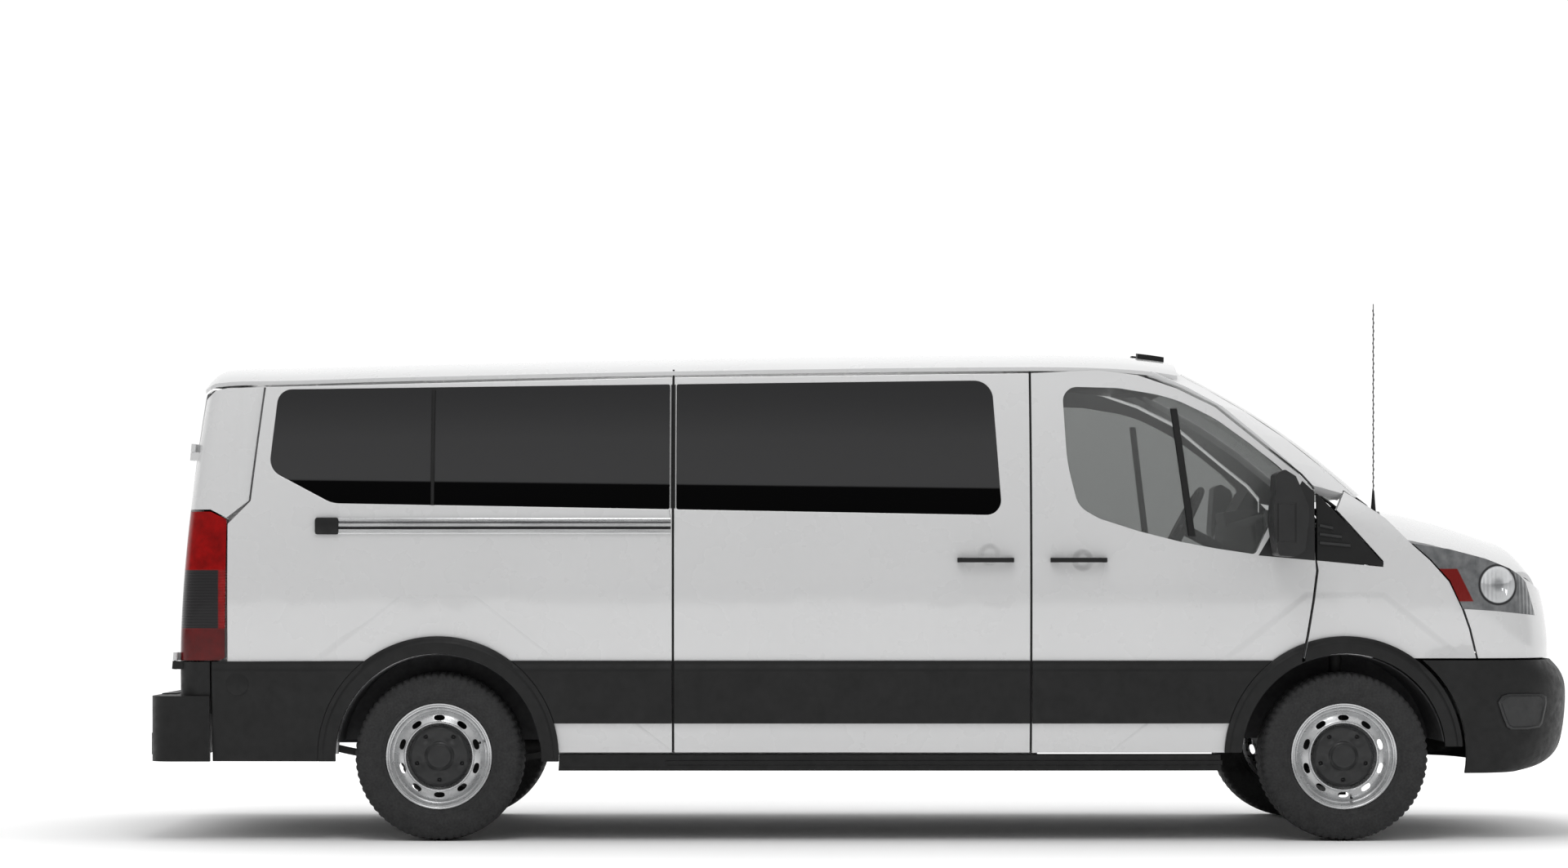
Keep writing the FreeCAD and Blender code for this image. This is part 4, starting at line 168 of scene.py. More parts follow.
def add_relief(made, build, strength=1.0):
    """Lays a pressed form, in metres, under a finish's fine grain."""
    nodes = made.node_tree.nodes
    links = made.node_tree.links
    coords = nodes.new("ShaderNodeTexCoord").outputs["Object"]
    split = nodes.new("ShaderNodeSeparateXYZ")
    links.new(coords, split.inputs["Vector"])
    height = build(nodes, links, coords, split.outputs)
    form = nodes.new("ShaderNodeBump")
    form.inputs["Strength"].default_value = strength
    form.inputs["Distance"].default_value = 1.0
    links.new(height, form.inputs["Height"])
    fine = [node for node in nodes if node.type == "BUMP" and node != form][0]
    links.new(form.outputs["Normal"], fine.inputs["Normal"])
    return made


def radius_node(nodes, links, axes, x, z):
    """Distance from a point of the side view."""
    across = math_node(nodes, links, "SUBTRACT", axes["X"], x)
    along = math_node(nodes, links, "SUBTRACT", axes["Z"], z)
    square = math_node(nodes, links, "MULTIPLY", across, across)
    both = math_node(nodes, links, "MULTIPLY_ADD", along, along, square)
    return math_node(nodes, links, "SQRT", both)


# Pressed forms of the body side: a step along the doors, a bulge over each arch, cups behind the handles.
STEP_UPPER = 1.089
STEP_LOWER = 1.014
STEP_RISE = 0.006
STEP_ENDS = (-2.20, 1.46)
BULGE_RISE = 0.009
BULGE_TOP = 0.685
BULGE_REACH = 0.64
BULGE_SLOPE = 0.62
BULGE_FALL = 0.785
BULGE_EDGE = 0.032
CUP_DEPTH = 0.014
CUP_RADIUS = 0.050
CUPS = ((DOOR_REAR - 0.1725, 1.188), (DOOR_REAR + 0.2115, 1.164))


def side_pressing(nodes, links, coords, axes):
    drop = ease_node(nodes, links, axes["Z"], STEP_LOWER, STEP_UPPER, STEP_RISE, 0.0)
    rear = ease_node(nodes, links, axes["X"], STEP_ENDS[0], STEP_ENDS[0] + 0.15, 0.0, 1.0)
    front = ease_node(nodes, links, axes["X"], STEP_ENDS[1] - 0.15, STEP_ENDS[1], 1.0, 0.0)
    total = math_node(nodes, links, "MULTIPLY", math_node(nodes, links, "MULTIPLY", rear, front), drop)
    for axle in (REAR_AXLE, FRONT_AXLE):
        across = math_node(nodes, links, "ABSOLUTE", math_node(nodes, links, "SUBTRACT", axes["X"], axle))
        rise = math_node(nodes, links, "SUBTRACT", axes["Z"], TYRE_RADIUS)
        flat = math_node(nodes, links, "SUBTRACT", BULGE_TOP, rise)
        slope = math_node(nodes, links, "MULTIPLY_ADD", across, -BULGE_SLOPE, BULGE_REACH)
        slope = math_node(nodes, links, "MULTIPLY_ADD", rise, -BULGE_FALL, slope)
        edge = math_node(nodes, links, "MINIMUM", flat, slope)
        bulge = ease_node(nodes, links, edge, 0.0, BULGE_EDGE, 0.0, BULGE_RISE)
        total = math_node(nodes, links, "MAXIMUM", total, bulge)
    for x, z in CUPS:
        gap = radius_node(nodes, links, axes, x, z)
        cup = ease_node(nodes, links, gap, CUP_RADIUS * 0.35, CUP_RADIUS, -CUP_DEPTH, 0.0)
        total = math_node(nodes, links, "ADD", total, cup)
    return total


PAINT = finish("white_paint", (0.615, 0.617, 0.62), (0.63, 0.632, 0.635), (0.24, 0.32), 1.6, 0, 0.05, 260.0,
               0.8)
BODY_SIDE = finish("white_paint_side", (0.615, 0.617, 0.62), (0.63, 0.632, 0.635), (0.24, 0.32), 1.6, 0, 0.05,
                   260.0, 0.8)
add_relief(BODY_SIDE, side_pressing)


# The cladding's upper edge and the flares' outer rim slope back to the panel and catch the light.
TRIM_BEVEL = 0.046
TRIM_RISE = 0.014


for paint in (PAINT, BODY_SIDE):
    paint.node_tree.nodes["Principled BSDF"].inputs["Coat IOR"].default_value = 1.9


def trim_pressing(nodes, links, coords, axes):
    band = ease_node(nodes, links, axes["Z"], CLADDING_TOP - TRIM_BEVEL, CLADDING_TOP, TRIM_RISE, 0.0)
    for axle in (REAR_AXLE, FRONT_AXLE):
        gap = radius_node(nodes, links, axes, axle, TYRE_RADIUS)
        outer = ARCH_RADIUS + FLARE_WIDTH
        rim = ease_node(nodes, links, gap, outer - TRIM_BEVEL, outer - TRIM_BEVEL * 0.3, TRIM_RISE * 1.4, 0.0)
        band = math_node(nodes, links, "MAXIMUM", band, rim)
    return band


CLADDING = finish("grained_cladding", (0.005, 0.0051, 0.0052), (0.009, 0.0091, 0.0092), (0.40, 0.58), 9.0, 0,
                  0.35, 900.0, specular=0.3)
add_relief(CLADDING, trim_pressing)
BLACK = finish("black_trim", (0.005, 0.0051, 0.0052), (0.009, 0.0091, 0.0092), (0.42, 0.62), 9.0, 0, 0.35,
               900.0, specular=0.3)
RUBBER = finish("rubber", (0.011, 0.011, 0.0115), (0.021, 0.021, 0.0215), (0.62, 0.85), 30.0, 0, 0.4, 500.0)
STEEL = finish("silver_steel", (0.50, 0.505, 0.51), (0.62, 0.625, 0.63), (0.22, 0.38), 14.0, 0.9, 0.12, 600.0)
BRIGHT = finish("bright_rail", (0.66, 0.665, 0.67), (0.78, 0.785, 0.79), (0.16, 0.30), 20.0, 1.0, 0.1, 300.0,
                stretch=(0.05, 1, 1))
CHASSIS = finish("chassis_black", (0.014, 0.014, 0.0145), (0.034, 0.033, 0.032), (0.5, 0.8), 7.0, 0.2, 0.5,
                 120.0)
CABIN = finish("cabin_plastic", (0.040, 0.041, 0.044), (0.060, 0.061, 0.064), (0.5, 0.7), 12.0, 0, 0.4, 700.0)
LINING = finish("floor_lining", (0.030, 0.030, 0.032), (0.05, 0.05, 0.052), (0.7, 0.9), 18.0, 0, 0.6, 250.0)
CLOTH = finish("seat_cloth", (0.026, 0.028, 0.032), (0.060, 0.063, 0.07), (0.8, 0.95), 60.0, 0, 0.8, 900.0)
CHANNEL_WIDTH = 0.072


def sewn_channels(nodes, links, coords, axes):
    turn = math_node(nodes, links, "MULTIPLY", axes["Y"], math.pi / CHANNEL_WIDTH)
    wave = math_node(nodes, links, "ABSOLUTE", math_node(nodes, links, "SINE", turn))
    return math_node(nodes, links, "MULTIPLY", math_node(nodes, links, "POWER", wave, 0.5), 0.006)


add_relief(CLOTH, sewn_channels)
AMBER = finish("amber_lens", (0.50, 0.16, 0.012), (0.60, 0.22, 0.02), (0.08, 0.16), 30.0, 0, 0.1, 200.0, 0.3)
RED = finish("red_lens", (0.17, 0.001, 0.001), (0.30, 0.002, 0.002), (0.10, 0.20), 26.0, 0, 0.1, 160.0, 0.12,
             specular=0.2)
LENS = finish("lamp_lens", (0.13, 0.135, 0.14), (0.24, 0.245, 0.25), (0.05, 0.14), 26.0, 0.3, 0.1, 160.0, 0.4,
              specular=0.4)

# The tail lamp has a smoky ribbed part in its middle, and the headlamp a bowl and a red marker.
SMOKY_HEIGHTS = (0.880, 1.122)
SMOKY_FRONT = -2.692
LAMP_RIB = 0.012
BOWL = (2.610, 1.062)
BOWL_RADIUS = 0.082
MARKER = (2.395, 2.470, 1.060, 0.068)


def tint_part(made, mask, colour):
    """Mixes a second colour into a finish where the mask is one."""
    nodes = made.node_tree.nodes
    links = made.node_tree.links
    shader = nodes["Principled BSDF"]
    source = shader.inputs["Base Color"].links[0].from_socket
    mix = nodes.new("ShaderNodeMix")
    mix.data_type = "RGBA"
    links.new(mask, mix.inputs["Factor"])
    links.new(source, mix.inputs[6])
    mix.inputs[7].default_value = (*colour, 1)
    links.new(mix.outputs[2], shader.inputs["Base Color"])


def place_axes(made):
    nodes = made.node_tree.nodes
    coords = nodes.new("ShaderNodeTexCoord").outputs["Object"]
    split = nodes.new("ShaderNodeSeparateXYZ")
    made.node_tree.links.new(coords, split.inputs["Vector"])
    return nodes, made.node_tree.links, split.outputs


def band_mask(nodes, links, source, low, high, soft=0.003):
    """One between two values, with soft edges."""
    up = ease_node(nodes, links, source, low - soft, low + soft, 0.0, 1.0)
    down = ease_node(nodes, links, source, high - soft, high + soft, 1.0, 0.0)
    return math_node(nodes, links, "MULTIPLY", up, down)


def lamp_ribs(nodes, links, coords, axes):
    wave = math_node(nodes, links, "SINE", math_node(nodes, links, "MULTIPLY", axes["Z"],
                                                     math.tau / LAMP_RIB))
    part = band_mask(nodes, links, axes["Z"], SMOKY_HEIGHTS[0], SMOKY_HEIGHTS[1])
    return math_node(nodes, links, "MULTIPLY", math_node(nodes, links, "MULTIPLY", wave, 0.0012), part)


def bowl_form(nodes, links, coords, axes):
    gap = radius_node(nodes, links, axes, *BOWL)
    deep = ease_node(nodes, links, gap, 0.0, BOWL_RADIUS, -0.05, 0.0)
    wave = math_node(nodes, links, "SINE", math_node(nodes, links, "MULTIPLY", axes["X"], math.tau / 0.018))
    return math_node(nodes, links, "MULTIPLY_ADD", wave, 0.0008, deep)


def dress_lamps():
    nodes, links, axes = place_axes(RED)
    tall = band_mask(nodes, links, axes["Z"], *SMOKY_HEIGHTS)
    back = ease_node(nodes, links, axes["X"], SMOKY_FRONT - 0.004, SMOKY_FRONT + 0.004, 1.0, 0.0)
    tint_part(RED, math_node(nodes, links, "MULTIPLY", tall, back), (0.012, 0.011, 0.012))
    foot = ease_node(nodes, links, axes["Z"], SMOKY_HEIGHTS[0] - 0.004, SMOKY_HEIGHTS[0] + 0.004, 0.75, 0.0)
    tint_part(RED, foot, (0.035, 0.001, 0.001))
    add_relief(RED, lamp_ribs)
    nodes, links, axes = place_axes(LENS)
    slant = math_node(nodes, links, "MULTIPLY_ADD", math_node(nodes, links, "SUBTRACT", axes["Z"],
                                                              MARKER[2]), 0.5, axes["X"])
    wide = band_mask(nodes, links, slant, MARKER[0], MARKER[1])
    high = band_mask(nodes, links, axes["Z"], MARKER[2] - MARKER[3], MARKER[2] + MARKER[3])
    tint_part(LENS, math_node(nodes, links, "MULTIPLY", wide, high), (0.20, 0.006, 0.004))
    gap = radius_node(nodes, links, axes, *BOWL)
    tint_part(LENS, ease_node(nodes, links, gap, BOWL_RADIUS - 0.01, BOWL_RADIUS, 1.0, 0.0),
              (0.62, 0.63, 0.64))
    tint_part(LENS, ease_node(nodes, links, gap, 0.010, 0.040, 0.8, 0.0), (0.12, 0.125, 0.13))
    tint_part(LENS, band_mask(nodes, links, gap, BOWL_RADIUS - 0.006, BOWL_RADIUS + 0.004),
              (0.03, 0.03, 0.032))
    add_relief(LENS, bowl_form)


dress_lamps()

# The panes meet at the sliding door's rear seam; there the narrow edges of the panels are painted black as
# painted shade in the gap.
SEAM_SHADE_BOX = (-0.822, -0.801, 1.376, 1.892)


def paint_seam_shade():
    nodes, links, axes = place_axes(BODY_SIDE)
    wide = band_mask(nodes, links, axes["X"], SEAM_SHADE_BOX[0], SEAM_SHADE_BOX[1], 0.0008)
    tall = band_mask(nodes, links, axes["Z"], SEAM_SHADE_BOX[2], SEAM_SHADE_BOX[3], 0.002)
    right = math_node(nodes, links, "LESS_THAN", axes["Y"], 0.0)
    mask = math_node(nodes, links, "MULTIPLY", math_node(nodes, links, "MULTIPLY", wide, tall), right)
    # Painted shade: the white panel edges in the seam's gap are coloured near black.
    tint_part(BODY_SIDE, mask, (0.004, 0.004, 0.0042))


paint_seam_shade()


def glass(name, tint, weight, rough=(0.01, 0.03)):
    """Tinted glass: part clear, part dark, with faint smears in its gloss."""
    made, nodes, links, shader = base_material(name)
    coords = nodes.new("ShaderNodeTexCoord").outputs["Object"]
    smear = noise_node(nodes, links, coords, 3.0, 4.0)
    spread = ramp_node(nodes, links, smear.outputs["Fac"], ((0.35, (rough[0],) * 3), (0.7, (rough[1],) * 3)))
    links.new(spread.outputs["Color"], shader.inputs["Roughness"])
    shader.inputs["Base Color"].default_value = (*tint, 1)
    shader.inputs["Transmission Weight"].default_value = weight
    shader.inputs["IOR"].default_value = 1.45
    return made


CLEAR_GLASS = glass("clear_glass", (0.46, 0.47, 0.465), 0.9)
DARK_GLASS = glass("privacy_glass", (0.035, 0.037, 0.04), 0.12)


def shade_privacy_glass():
    """Dark tint, painted lighter down to the belt, with a black band below: both are painted reflection."""
    nodes, links, axes = place_axes(DARK_GLASS)
    shader = nodes["Principled BSDF"]
    edge = math_node(nodes, links, "MULTIPLY_ADD", axes["X"], 0.012, axes["Z"])
    # Painted reflection: a black band along the lower edge of the glass.
    painted_reflection_band = ease_node(nodes, links, edge, 1.462, 1.472, 1.0, 0.0)
    # Painted reflection: the tint grows lighter towards the belt.
    reflection_fade = ease_node(nodes, links, axes["Z"], 1.45, 1.92, 0.0, 1.0)
    ramp = ramp_node(nodes, links, reflection_fade, ((0.0, (0.044, 0.044, 0.045)), (0.45, (0.038, 0.038, 0.039)),
                                          (1.0, (0.018, 0.018, 0.019))))
    links.new(ramp.outputs["Color"], shader.inputs["Base Color"])
    tint_part(DARK_GLASS, painted_reflection_band, (0.0008, 0.0008, 0.0009))
    gloss = math_node(nodes, links, "MULTIPLY_ADD", painted_reflection_band, -0.32, 0.34)
    links.new(gloss, shader.inputs["Specular IOR Level"])


shade_privacy_glass()

SLOT_FINISHES = {
    "white_paint": PAINT, "black_plastic": BLACK, "clear_glass": CLEAR_GLASS, "dark_glass": DARK_GLASS,
    "tyre_rubber": RUBBER, "wheel_steel": STEEL, "red_lamp": RED, "lamp_glass": LENS, "amber_lamp": AMBER,
    "bright_metal": BRIGHT, "interior_plastic": CABIN, "seat_fabric": CLOTH, "frame_steel": CHASSIS,
    "floor_lining": LINING,
}


SIDE_PANELS = ("sliding_door", "quarter_panel_right", "side_panel_left", "front_door_right",
               "front_door_left", "fenders", "rear_corners")
CLADDED = ("side_cladding", "door_cladding_right", "door_cladding_left")


def finish_frame_nodes():
    """Every node of the frame takes the finish of its material slot."""
    for row in frame["record"]["subparts"]:
        node = frame["nodes"][row["node"]]
        chosen = SLOT_FINISHES[row["material_slot"]]
        if row["node"] in SIDE_PANELS:
            chosen = BODY_SIDE
        if row["node"] in CLADDED:
            chosen = CLADDING
        if row["node"] == "roof_lamps":
            chosen = BLACK
        node.data.materials.clear()
        node.data.materials.append(chosen)


def round_edges(name, width, angle=35.0):
    """Rolls a node's sharp edges, which catch the light as pressed sheet does."""
    node = frame["nodes"][name]
    weld = node.modifiers.new("weld", "WELD")
    weld.merge_threshold = 0.00003
    bevel = node.modifiers.new("rolled_edge", "BEVEL")
    bevel.width = width
    bevel.segments = 2
    bevel.limit_method = "ANGLE"
    bevel.angle_limit = math.radians(angle)
    bevel.use_clamp_overlap = True
    bevel.harden_normals = False
    even = node.modifiers.new("even_normals", "WEIGHTED_NORMAL")
    even.weight = 60


finish_frame_nodes()
for panel in SIDE_PANELS + ("rear_door_right", "rear_door_left", "nose_panel"):
    round_edges(panel, 0.003)
for panel in CLADDED + ("mirror_right", "mirror_left", "sills"):
    round_edges(panel, 0.0025)
for panel in ("front_bumper", "rear_bumper"):
    round_edges(panel, 0.004, 50.0)


# Surfaces of the body, as in the frame.
def side_reach(x, z):
    if z > WIDEST_HEIGHT:
        tuck = TUMBLEHOME * ((z - WIDEST_HEIGHT) / (GUTTER_HEIGHT - WIDEST_HEIGHT)) ** 2
    else:
        tuck = SILL_TUCK * ((WIDEST_HEIGHT - z) / (WIDEST_HEIGHT - ROCKER_BOTTOM)) ** 2
    ahead = max(0.0, x - DOOR_REAR) / (NOSE_START - DOOR_REAR)
    behind = max(0.0, SLIDER_REAR - x) / (SLIDER_REAR - CORNER_SEAM)
    return HALF_WIDTH - tuck - FRONT_TAPER * ahead ** 2 - REAR_TAPER * behind ** 2


def wrap_point(side, x, z, tip, stand=0.0):
    """A point of the wrapped front at a station, on one side."""
    half = side_reach(NOSE_START, z) + CLADDING_STAND
    share = min(1.0, max(0.0, (x - NOSE_START) / (tip - NOSE_START)))
    cosine = share ** (NOSE_ROUNDNESS / 2)
    sine = math.sqrt(max(0.0, 1 - cosine * cosine))
    y = half * sine ** (2 / NOSE_ROUNDNESS)
    slope = Vector((cosine ** 1.0 * 0.9 + 0.02, side * max(0.05, sine), 0)).normalized()
    return Vector((x, side * y, z)) + slope * stand


def make_piece(name, points, faces, material, body, replaced=(), smooth_angle=38.0, data=None):
    """A new mesh object that rides on a body and takes the finish it is given."""
    if data is None:
        data = bpy.data.meshes.new(name)
        data.from_pydata([tuple(p) for p in points], [], faces)
        data.validate()
        data.update()
        data.shade_smooth()
        data.set_sharp_from_angle(angle=math.radians(smooth_angle))
        data.materials.append(material)
    made = bpy.data.objects.new(name, data)
    bpy.context.scene.collection.objects.link(made)
    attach(made, body)
    if replaced:
        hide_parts(*replaced)
    return made


def merged(parts):
    """Joins several lists of points and faces into one."""
    points = []
    faces = []
    for some_points, some_faces in parts:
        shift = len(points)
        points += list(some_points)
        faces += [tuple(index + shift for index in face) for face in some_faces]
    return points, faces


def ring_faces(rings, count, closed_rings=True):
    """Quads between rings of the same count of points."""
    faces = []
    last = rings if closed_rings else rings - 1
    for ring in range(last):
        after = (ring + 1) % rings
        for step in range(count):
            ahead = (step + 1) % count
            faces.append((ring * count + step, ring * count + ahead, after * count + ahead,
                          after * count + step))
    return faces


def sweep(path, section, closed_ends=True):
    """A tube along a path; the section gives offsets for each path point."""
    points = []
    for index, place in enumerate(path):
        points += [place + offset for offset in section(index)]
    count = len(section(0))
    faces = ring_faces(len(path), count, False)
    if closed_ends:
        faces.append(tuple(reversed(range(count))))
        base = (len(path) - 1) * count
        faces.append(tuple(range(base, base + count)))
    return points, faces


def round_tube(path, radius, sides=10):
    """A round tube that follows a path."""
    def section(index):
        before = path[max(0, index - 1)]
        after = path[min(len(path) - 1, index + 1)]
        along = (after - before).normalized()
        helper = Vector((0, 1, 0)) if abs(along.y) < 0.9 else Vector((1, 0, 0))
        first = along.cross(helper).normalized()
        second = along.cross(first)
        size = radius[index] if isinstance(radius, (list, tuple)) else radius
        turns = [math.tau * step / sides for step in range(sides)]
        return [first * math.cos(turn) * size + second * math.sin(turn) * size for turn in turns]
    return sweep(path, section)


# Wheels. A section point is a radius and a distance outboard of the wheel's middle.
RIM_SECTION = (
    (0.2200, 0.0893), (0.2203, 0.0925), (0.2185, 0.0948), (0.2140, 0.0946), (0.2095, 0.0900), (0.2060,
                                                                                               0.0800),
    (0.2020, 0.0660), (0.1970, 0.0560), (0.1900, 0.0535), (0.1830, 0.0580), (0.1740, 0.0655), (0.1600,
                                                                                               0.0735),
    (0.1490, 0.0775), (0.1445, 0.0800), (0.1425, 0.0830), (0.1385, 0.0830), (0.1360, 0.0790), (0.1345,
                                                                                               0.0700),
    (0.1300, 0.0600), (0.1180, 0.0540), (0.0600, 0.0520), (0.0600, 0.0440), (0.1240, 0.0440), (0.1480,
                                                                                               0.0640),
    (0.1600, 0.0650), (0.1740, 0.0570), (0.1860, 0.0470), (0.1900, 0.0400), (0.1900, -0.0600), (0.1935,
                                                                                                -0.0780),
    (0.2100, -0.0900), (0.2190, -0.0945), (0.2200, -0.0893), (0.2045, -0.0885), (0.2030, -0.0800), (0.1965,
                                                                                                    -0.0560),
    (0.1960, 0.0400), (0.2032, 0.0700), (0.2045, 0.0885))
TYRE_HALF_SECTION = (
    (0.3500, 0.0000), (0.3500, 0.0180), (0.3425, 0.0200), (0.3425, 0.0270), (0.3498, 0.0290), (0.3494,
                                                                                               0.0600),
    (0.3420, 0.0625), (0.3420, 0.0690), (0.3480, 0.0715), (0.3462, 0.0900), (0.3425, 0.1010), (0.3360,
                                                                                               0.1080),
    (0.3270, 0.1125), (0.3170, 0.1150), (0.3060, 0.1168), (0.2920, 0.1174), (0.2780, 0.1170), (0.2740,
                                                                                               0.1176),
    (0.2700, 0.1160), (0.2560, 0.1115), (0.2440, 0.1050), (0.2400, 0.1048), (0.2350, 0.1010), (0.2280,
                                                                                               0.0970),
    (0.2230, 0.0955), (0.2214, 0.0930), (0.2206, 0.0893), (0.2060, 0.0885))
TREAD_BLOCKS = 68
WHEEL_STEPS = TREAD_BLOCKS * 3
HOLE_COUNT = 10
HOLE_CIRCLE = 0.160
HOLE_HALF_LENGTH = 0.0225
HOLE_HALF_WIDTH = 0.0115
LOBES = 5
CAP_RADIUS = 0.127
CAP_CENTRE = 0.0455


def wheel_point(radius, across, turn):
    """In the wheel's own frame, with its middle at the origin and outboard along -Y."""
    return Vector((radius * math.sin(turn), -across, radius * math.cos(turn)))


def turned(section, steps, shape=None):
    """Turns a closed section about the wheel's axis; shape may move a point."""
    points = []
    for step in range(steps):
        turn = math.tau * step / steps
        for index, (radius, across) in enumerate(section):
            if shape:
                radius, across = shape(step, index, radius, across)
            points.append(wheel_point(radius, across, turn))
    count = len(section)
    return points, ring_faces(steps, count)


def tread(step, index, radius, across):
    """Blocks on the tread and shoulder, parted by cross grooves."""
    reach = abs(across)
    if step % 3 == 0 and radius > 0.3150 and reach > 0.0300:
        return radius - (0.0060 if reach < 0.1100 else 0.0030), across * (1.0 if reach < 0.1000 else 0.985)
    if step % 3 == 0 and radius > 0.3450 and reach <= 0.0200:
        return radius - 0.0030, across
    return radius, across


def tyre_data():
    half = list(TYRE_HALF_SECTION)
    section = half + [(radius, -across) for radius, across in reversed(half[1:])]
    points, faces = turned(section, WHEEL_STEPS, tread)
    data = bpy.data.meshes.new("tyre_rubber")
    data.from_pydata([tuple(p) for p in points], [], faces)
    data.update()
    data.shade_smooth()
    data.set_sharp_from_angle(angle=math.radians(32))
    data.materials.append(RUBBER)
    return data


def rim_data():
    """Pressed steel wheel with its hand holes cut through."""
    points, faces = turned(RIM_SECTION, 120)
    body = bpy.data.meshes.new("rim_body")
    body.from_pydata([tuple(p) for p in points], [], faces)
    body.update()
    cutters = []
    for hole in range(HOLE_COUNT):
        turn = math.tau * hole / HOLE_COUNT
        outline = []
        for step in range(24):
            corner = math.tau * step / 24
            along = HOLE_HALF_LENGTH * math.copysign(abs(math.cos(corner)) ** 0.75, math.cos(corner))
            deep = HOLE_HALF_WIDTH * math.copysign(abs(math.sin(corner)) ** 0.85, math.sin(corner))
            radius = HOLE_CIRCLE + deep
            outline.append((radius, turn + along / HOLE_CIRCLE))
        near = [wheel_point(radius, 0.12, angle) for radius, angle in outline]
        far = [wheel_point(radius, 0.01, angle) for radius, angle in outline]
        count = len(outline)
        faces = [(step, (step + 1) % count, count + (step + 1) % count,
                  count + step) for step in range(count)]
        faces += [tuple(reversed(range(count))), tuple(range(count, 2 * count))]
        cutters.append((near + far, faces))
    hole_points, hole_faces = merged(cutters)
    tool = bpy.data.meshes.new("hole_tool")
    tool.from_pydata([tuple(p) for p in hole_points], [], hole_faces)
    tool.update()
    first = bpy.data.objects.new("rim_body", body)
    second = bpy.data.objects.new("hole_tool", tool)
    for made in (first, second):
        bpy.context.scene.collection.objects.link(made)
        work = bmesh.new()
        work.from_mesh(made.data)
        bmesh.ops.recalc_face_normals(work, faces=work.faces)
        work.to_mesh(made.data)
        work.free()
    cut = first.modifiers.new("holes", "BOOLEAN")
    cut.operation = "DIFFERENCE"
    cut.object = second
    cut.solver = "EXACT"
    soft = first.modifiers.new("rolled", "BEVEL")
    soft.width = 0.0018
    soft.segments = 2
    soft.limit_method = "ANGLE"
    soft.angle_limit = math.radians(55)
    result = bpy.data.meshes.new_from_object(first.evaluated_get(bpy.context.evaluated_depsgraph_get()))
    bpy.data.objects.remove(first)
    bpy.data.objects.remove(second)
    result.shade_smooth()
    result.set_sharp_from_angle(angle=math.radians(50))
    result.materials.clear()
    result.materials.append(STEEL)
    return result


def cap_height(radius, turn):
    """Face of the hub cap: five lobes, a raised centre disc and five small holes between the lobes."""
    lobe = 0.5 + 0.5 * math.cos(LOBES * turn)
    edge = min(1.0, max(0.0, (CAP_RADIUS - radius) / 0.014))
    edge = edge * edge * (3 - 2 * edge)
    dome = 0.062 + 0.016 * edge
    reach = min(1.0, max(0.0, (radius - 0.060) / 0.025))
    dome -= 0.011 * reach * (1 - lobe) ** 2 * edge
    if radius < CAP_CENTRE + 0.010:
        share = min(1.0, max(0.0, (CAP_CENTRE + 0.010 - radius) / 0.010))
        dome += 0.009 * share * share * (3 - 2 * share)
    groove = abs(radius - (CAP_CENTRE + 0.014))
    if groove < 0.004:
        dome -= 0.003 * (1 - groove / 0.004)
    for hole in range(LOBES):
        centre = math.tau * (hole + 0.5) / LOBES
        gap = math.hypot(radius * math.sin(turn) - 0.098 * math.sin(centre),
                         radius * math.cos(turn) - 0.098 * math.cos(centre))
        if gap < 0.0085:
            dome -= 0.012 * min(1.0, (0.0085 - gap) / 0.0025)
    return dome


def cap_data():
    steps = 150
    radii = [0.0, 0.015, 0.030, 0.040, 0.0455, 0.048, 0.0505, 0.053, 0.0555, 0.0575, 0.0595, 0.0615, 0.065,
             0.070,
             0.076, 0.082, 0.087, 0.0895, 0.092, 0.0945, 0.098, 0.1015, 0.104, 0.1065, 0.110, 0.114, 0.117,
             0.120, 0.123, 0.1255, CAP_RADIUS]
    points = []
    for radius in radii[1:]:
        points += [wheel_point(radius, cap_height(radius, math.tau * step / steps), math.tau * step / steps)
                   for step in range(steps)]
    points += [wheel_point(CAP_RADIUS - 0.001, 0.050, math.tau * step / steps) for step in range(steps)]
    faces = ring_faces(len(radii), steps, False)
    centre = len(points)
    points.append(wheel_point(0, cap_height(0, 0), 0))
    faces += [(centre, (step + 1) % steps, step) for step in range(steps)]
    data = bpy.data.meshes.new("hub_cap")
    data.from_pydata([tuple(p) for p in points], [], faces)
    data.update()
    data.shade_smooth()
    data.set_sharp_from_angle(angle=math.radians(60))
    data.materials.append(CAP_BLACK)
    return data


def valve_parts():
    """Rubber valve with its cap, through the rim near the flange."""
    path = [wheel_point(0.176, across, 0) for across in (0.050, 0.066, 0.0665, 0.084)]
    return round_tube(path, [0.0065, 0.0055, 0.0042, 0.0042], 10)


CAP_BLACK = finish("hub_cap_black", (0.010, 0.0105, 0.011), (0.018, 0.0185, 0.019), (0.34, 0.5), 20.0, 0,
                   0.3, 900.0)
VALVE_TURNS = {"front": 2.95, "rear": 1.25}


def wheels():
    tyre_mesh = tyre_data()
    rim_mesh = rim_data()
    cap_mesh = cap_data()
    points, faces = valve_parts()
    valve_mesh = bpy.data.meshes.new("valve")
    valve_mesh.from_pydata([tuple(p) for p in points], [], faces)
    valve_mesh.shade_smooth()
    valve_mesh.materials.append(RUBBER)
    for side in SIDES:
        for place, axle in (("front", FRONT_AXLE), ("rear", REAR_AXLE)):
            name = "%s_%s" % (place, SIDE_NAMES[side])
            body = "wheel_" + name
            spin = 0.0 if side < 0 else math.pi
            home = Matrix.Translation((axle, side * TRACK / 2, TYRE_RADIUS)) @ Matrix.Rotation(spin, 4, "Z")
            pieces = ((tyre_mesh, "tyre_surface_", "tyre_rubber", ("tyre_" + name,)),
                      (rim_mesh, "rim_surface_", "wheel_steel", ("rim_" + name,)),
                      (cap_mesh, "hub_cap_", "black_plastic", ()), (valve_mesh, "valve_", "black_plastic",
                                                                    ()))
            for data, label, slot, replaced in pieces:
                made = bpy.data.objects.new(label + name, data)
                bpy.context.scene.collection.objects.link(made)
                if label == "valve_":
                    made.matrix_world = home @ Matrix.Rotation(VALVE_TURNS[place], 4, "Y")
                else:
                    made.matrix_world = home
                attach(made, body)
                if replaced:
                    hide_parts(*replaced)


wheels()


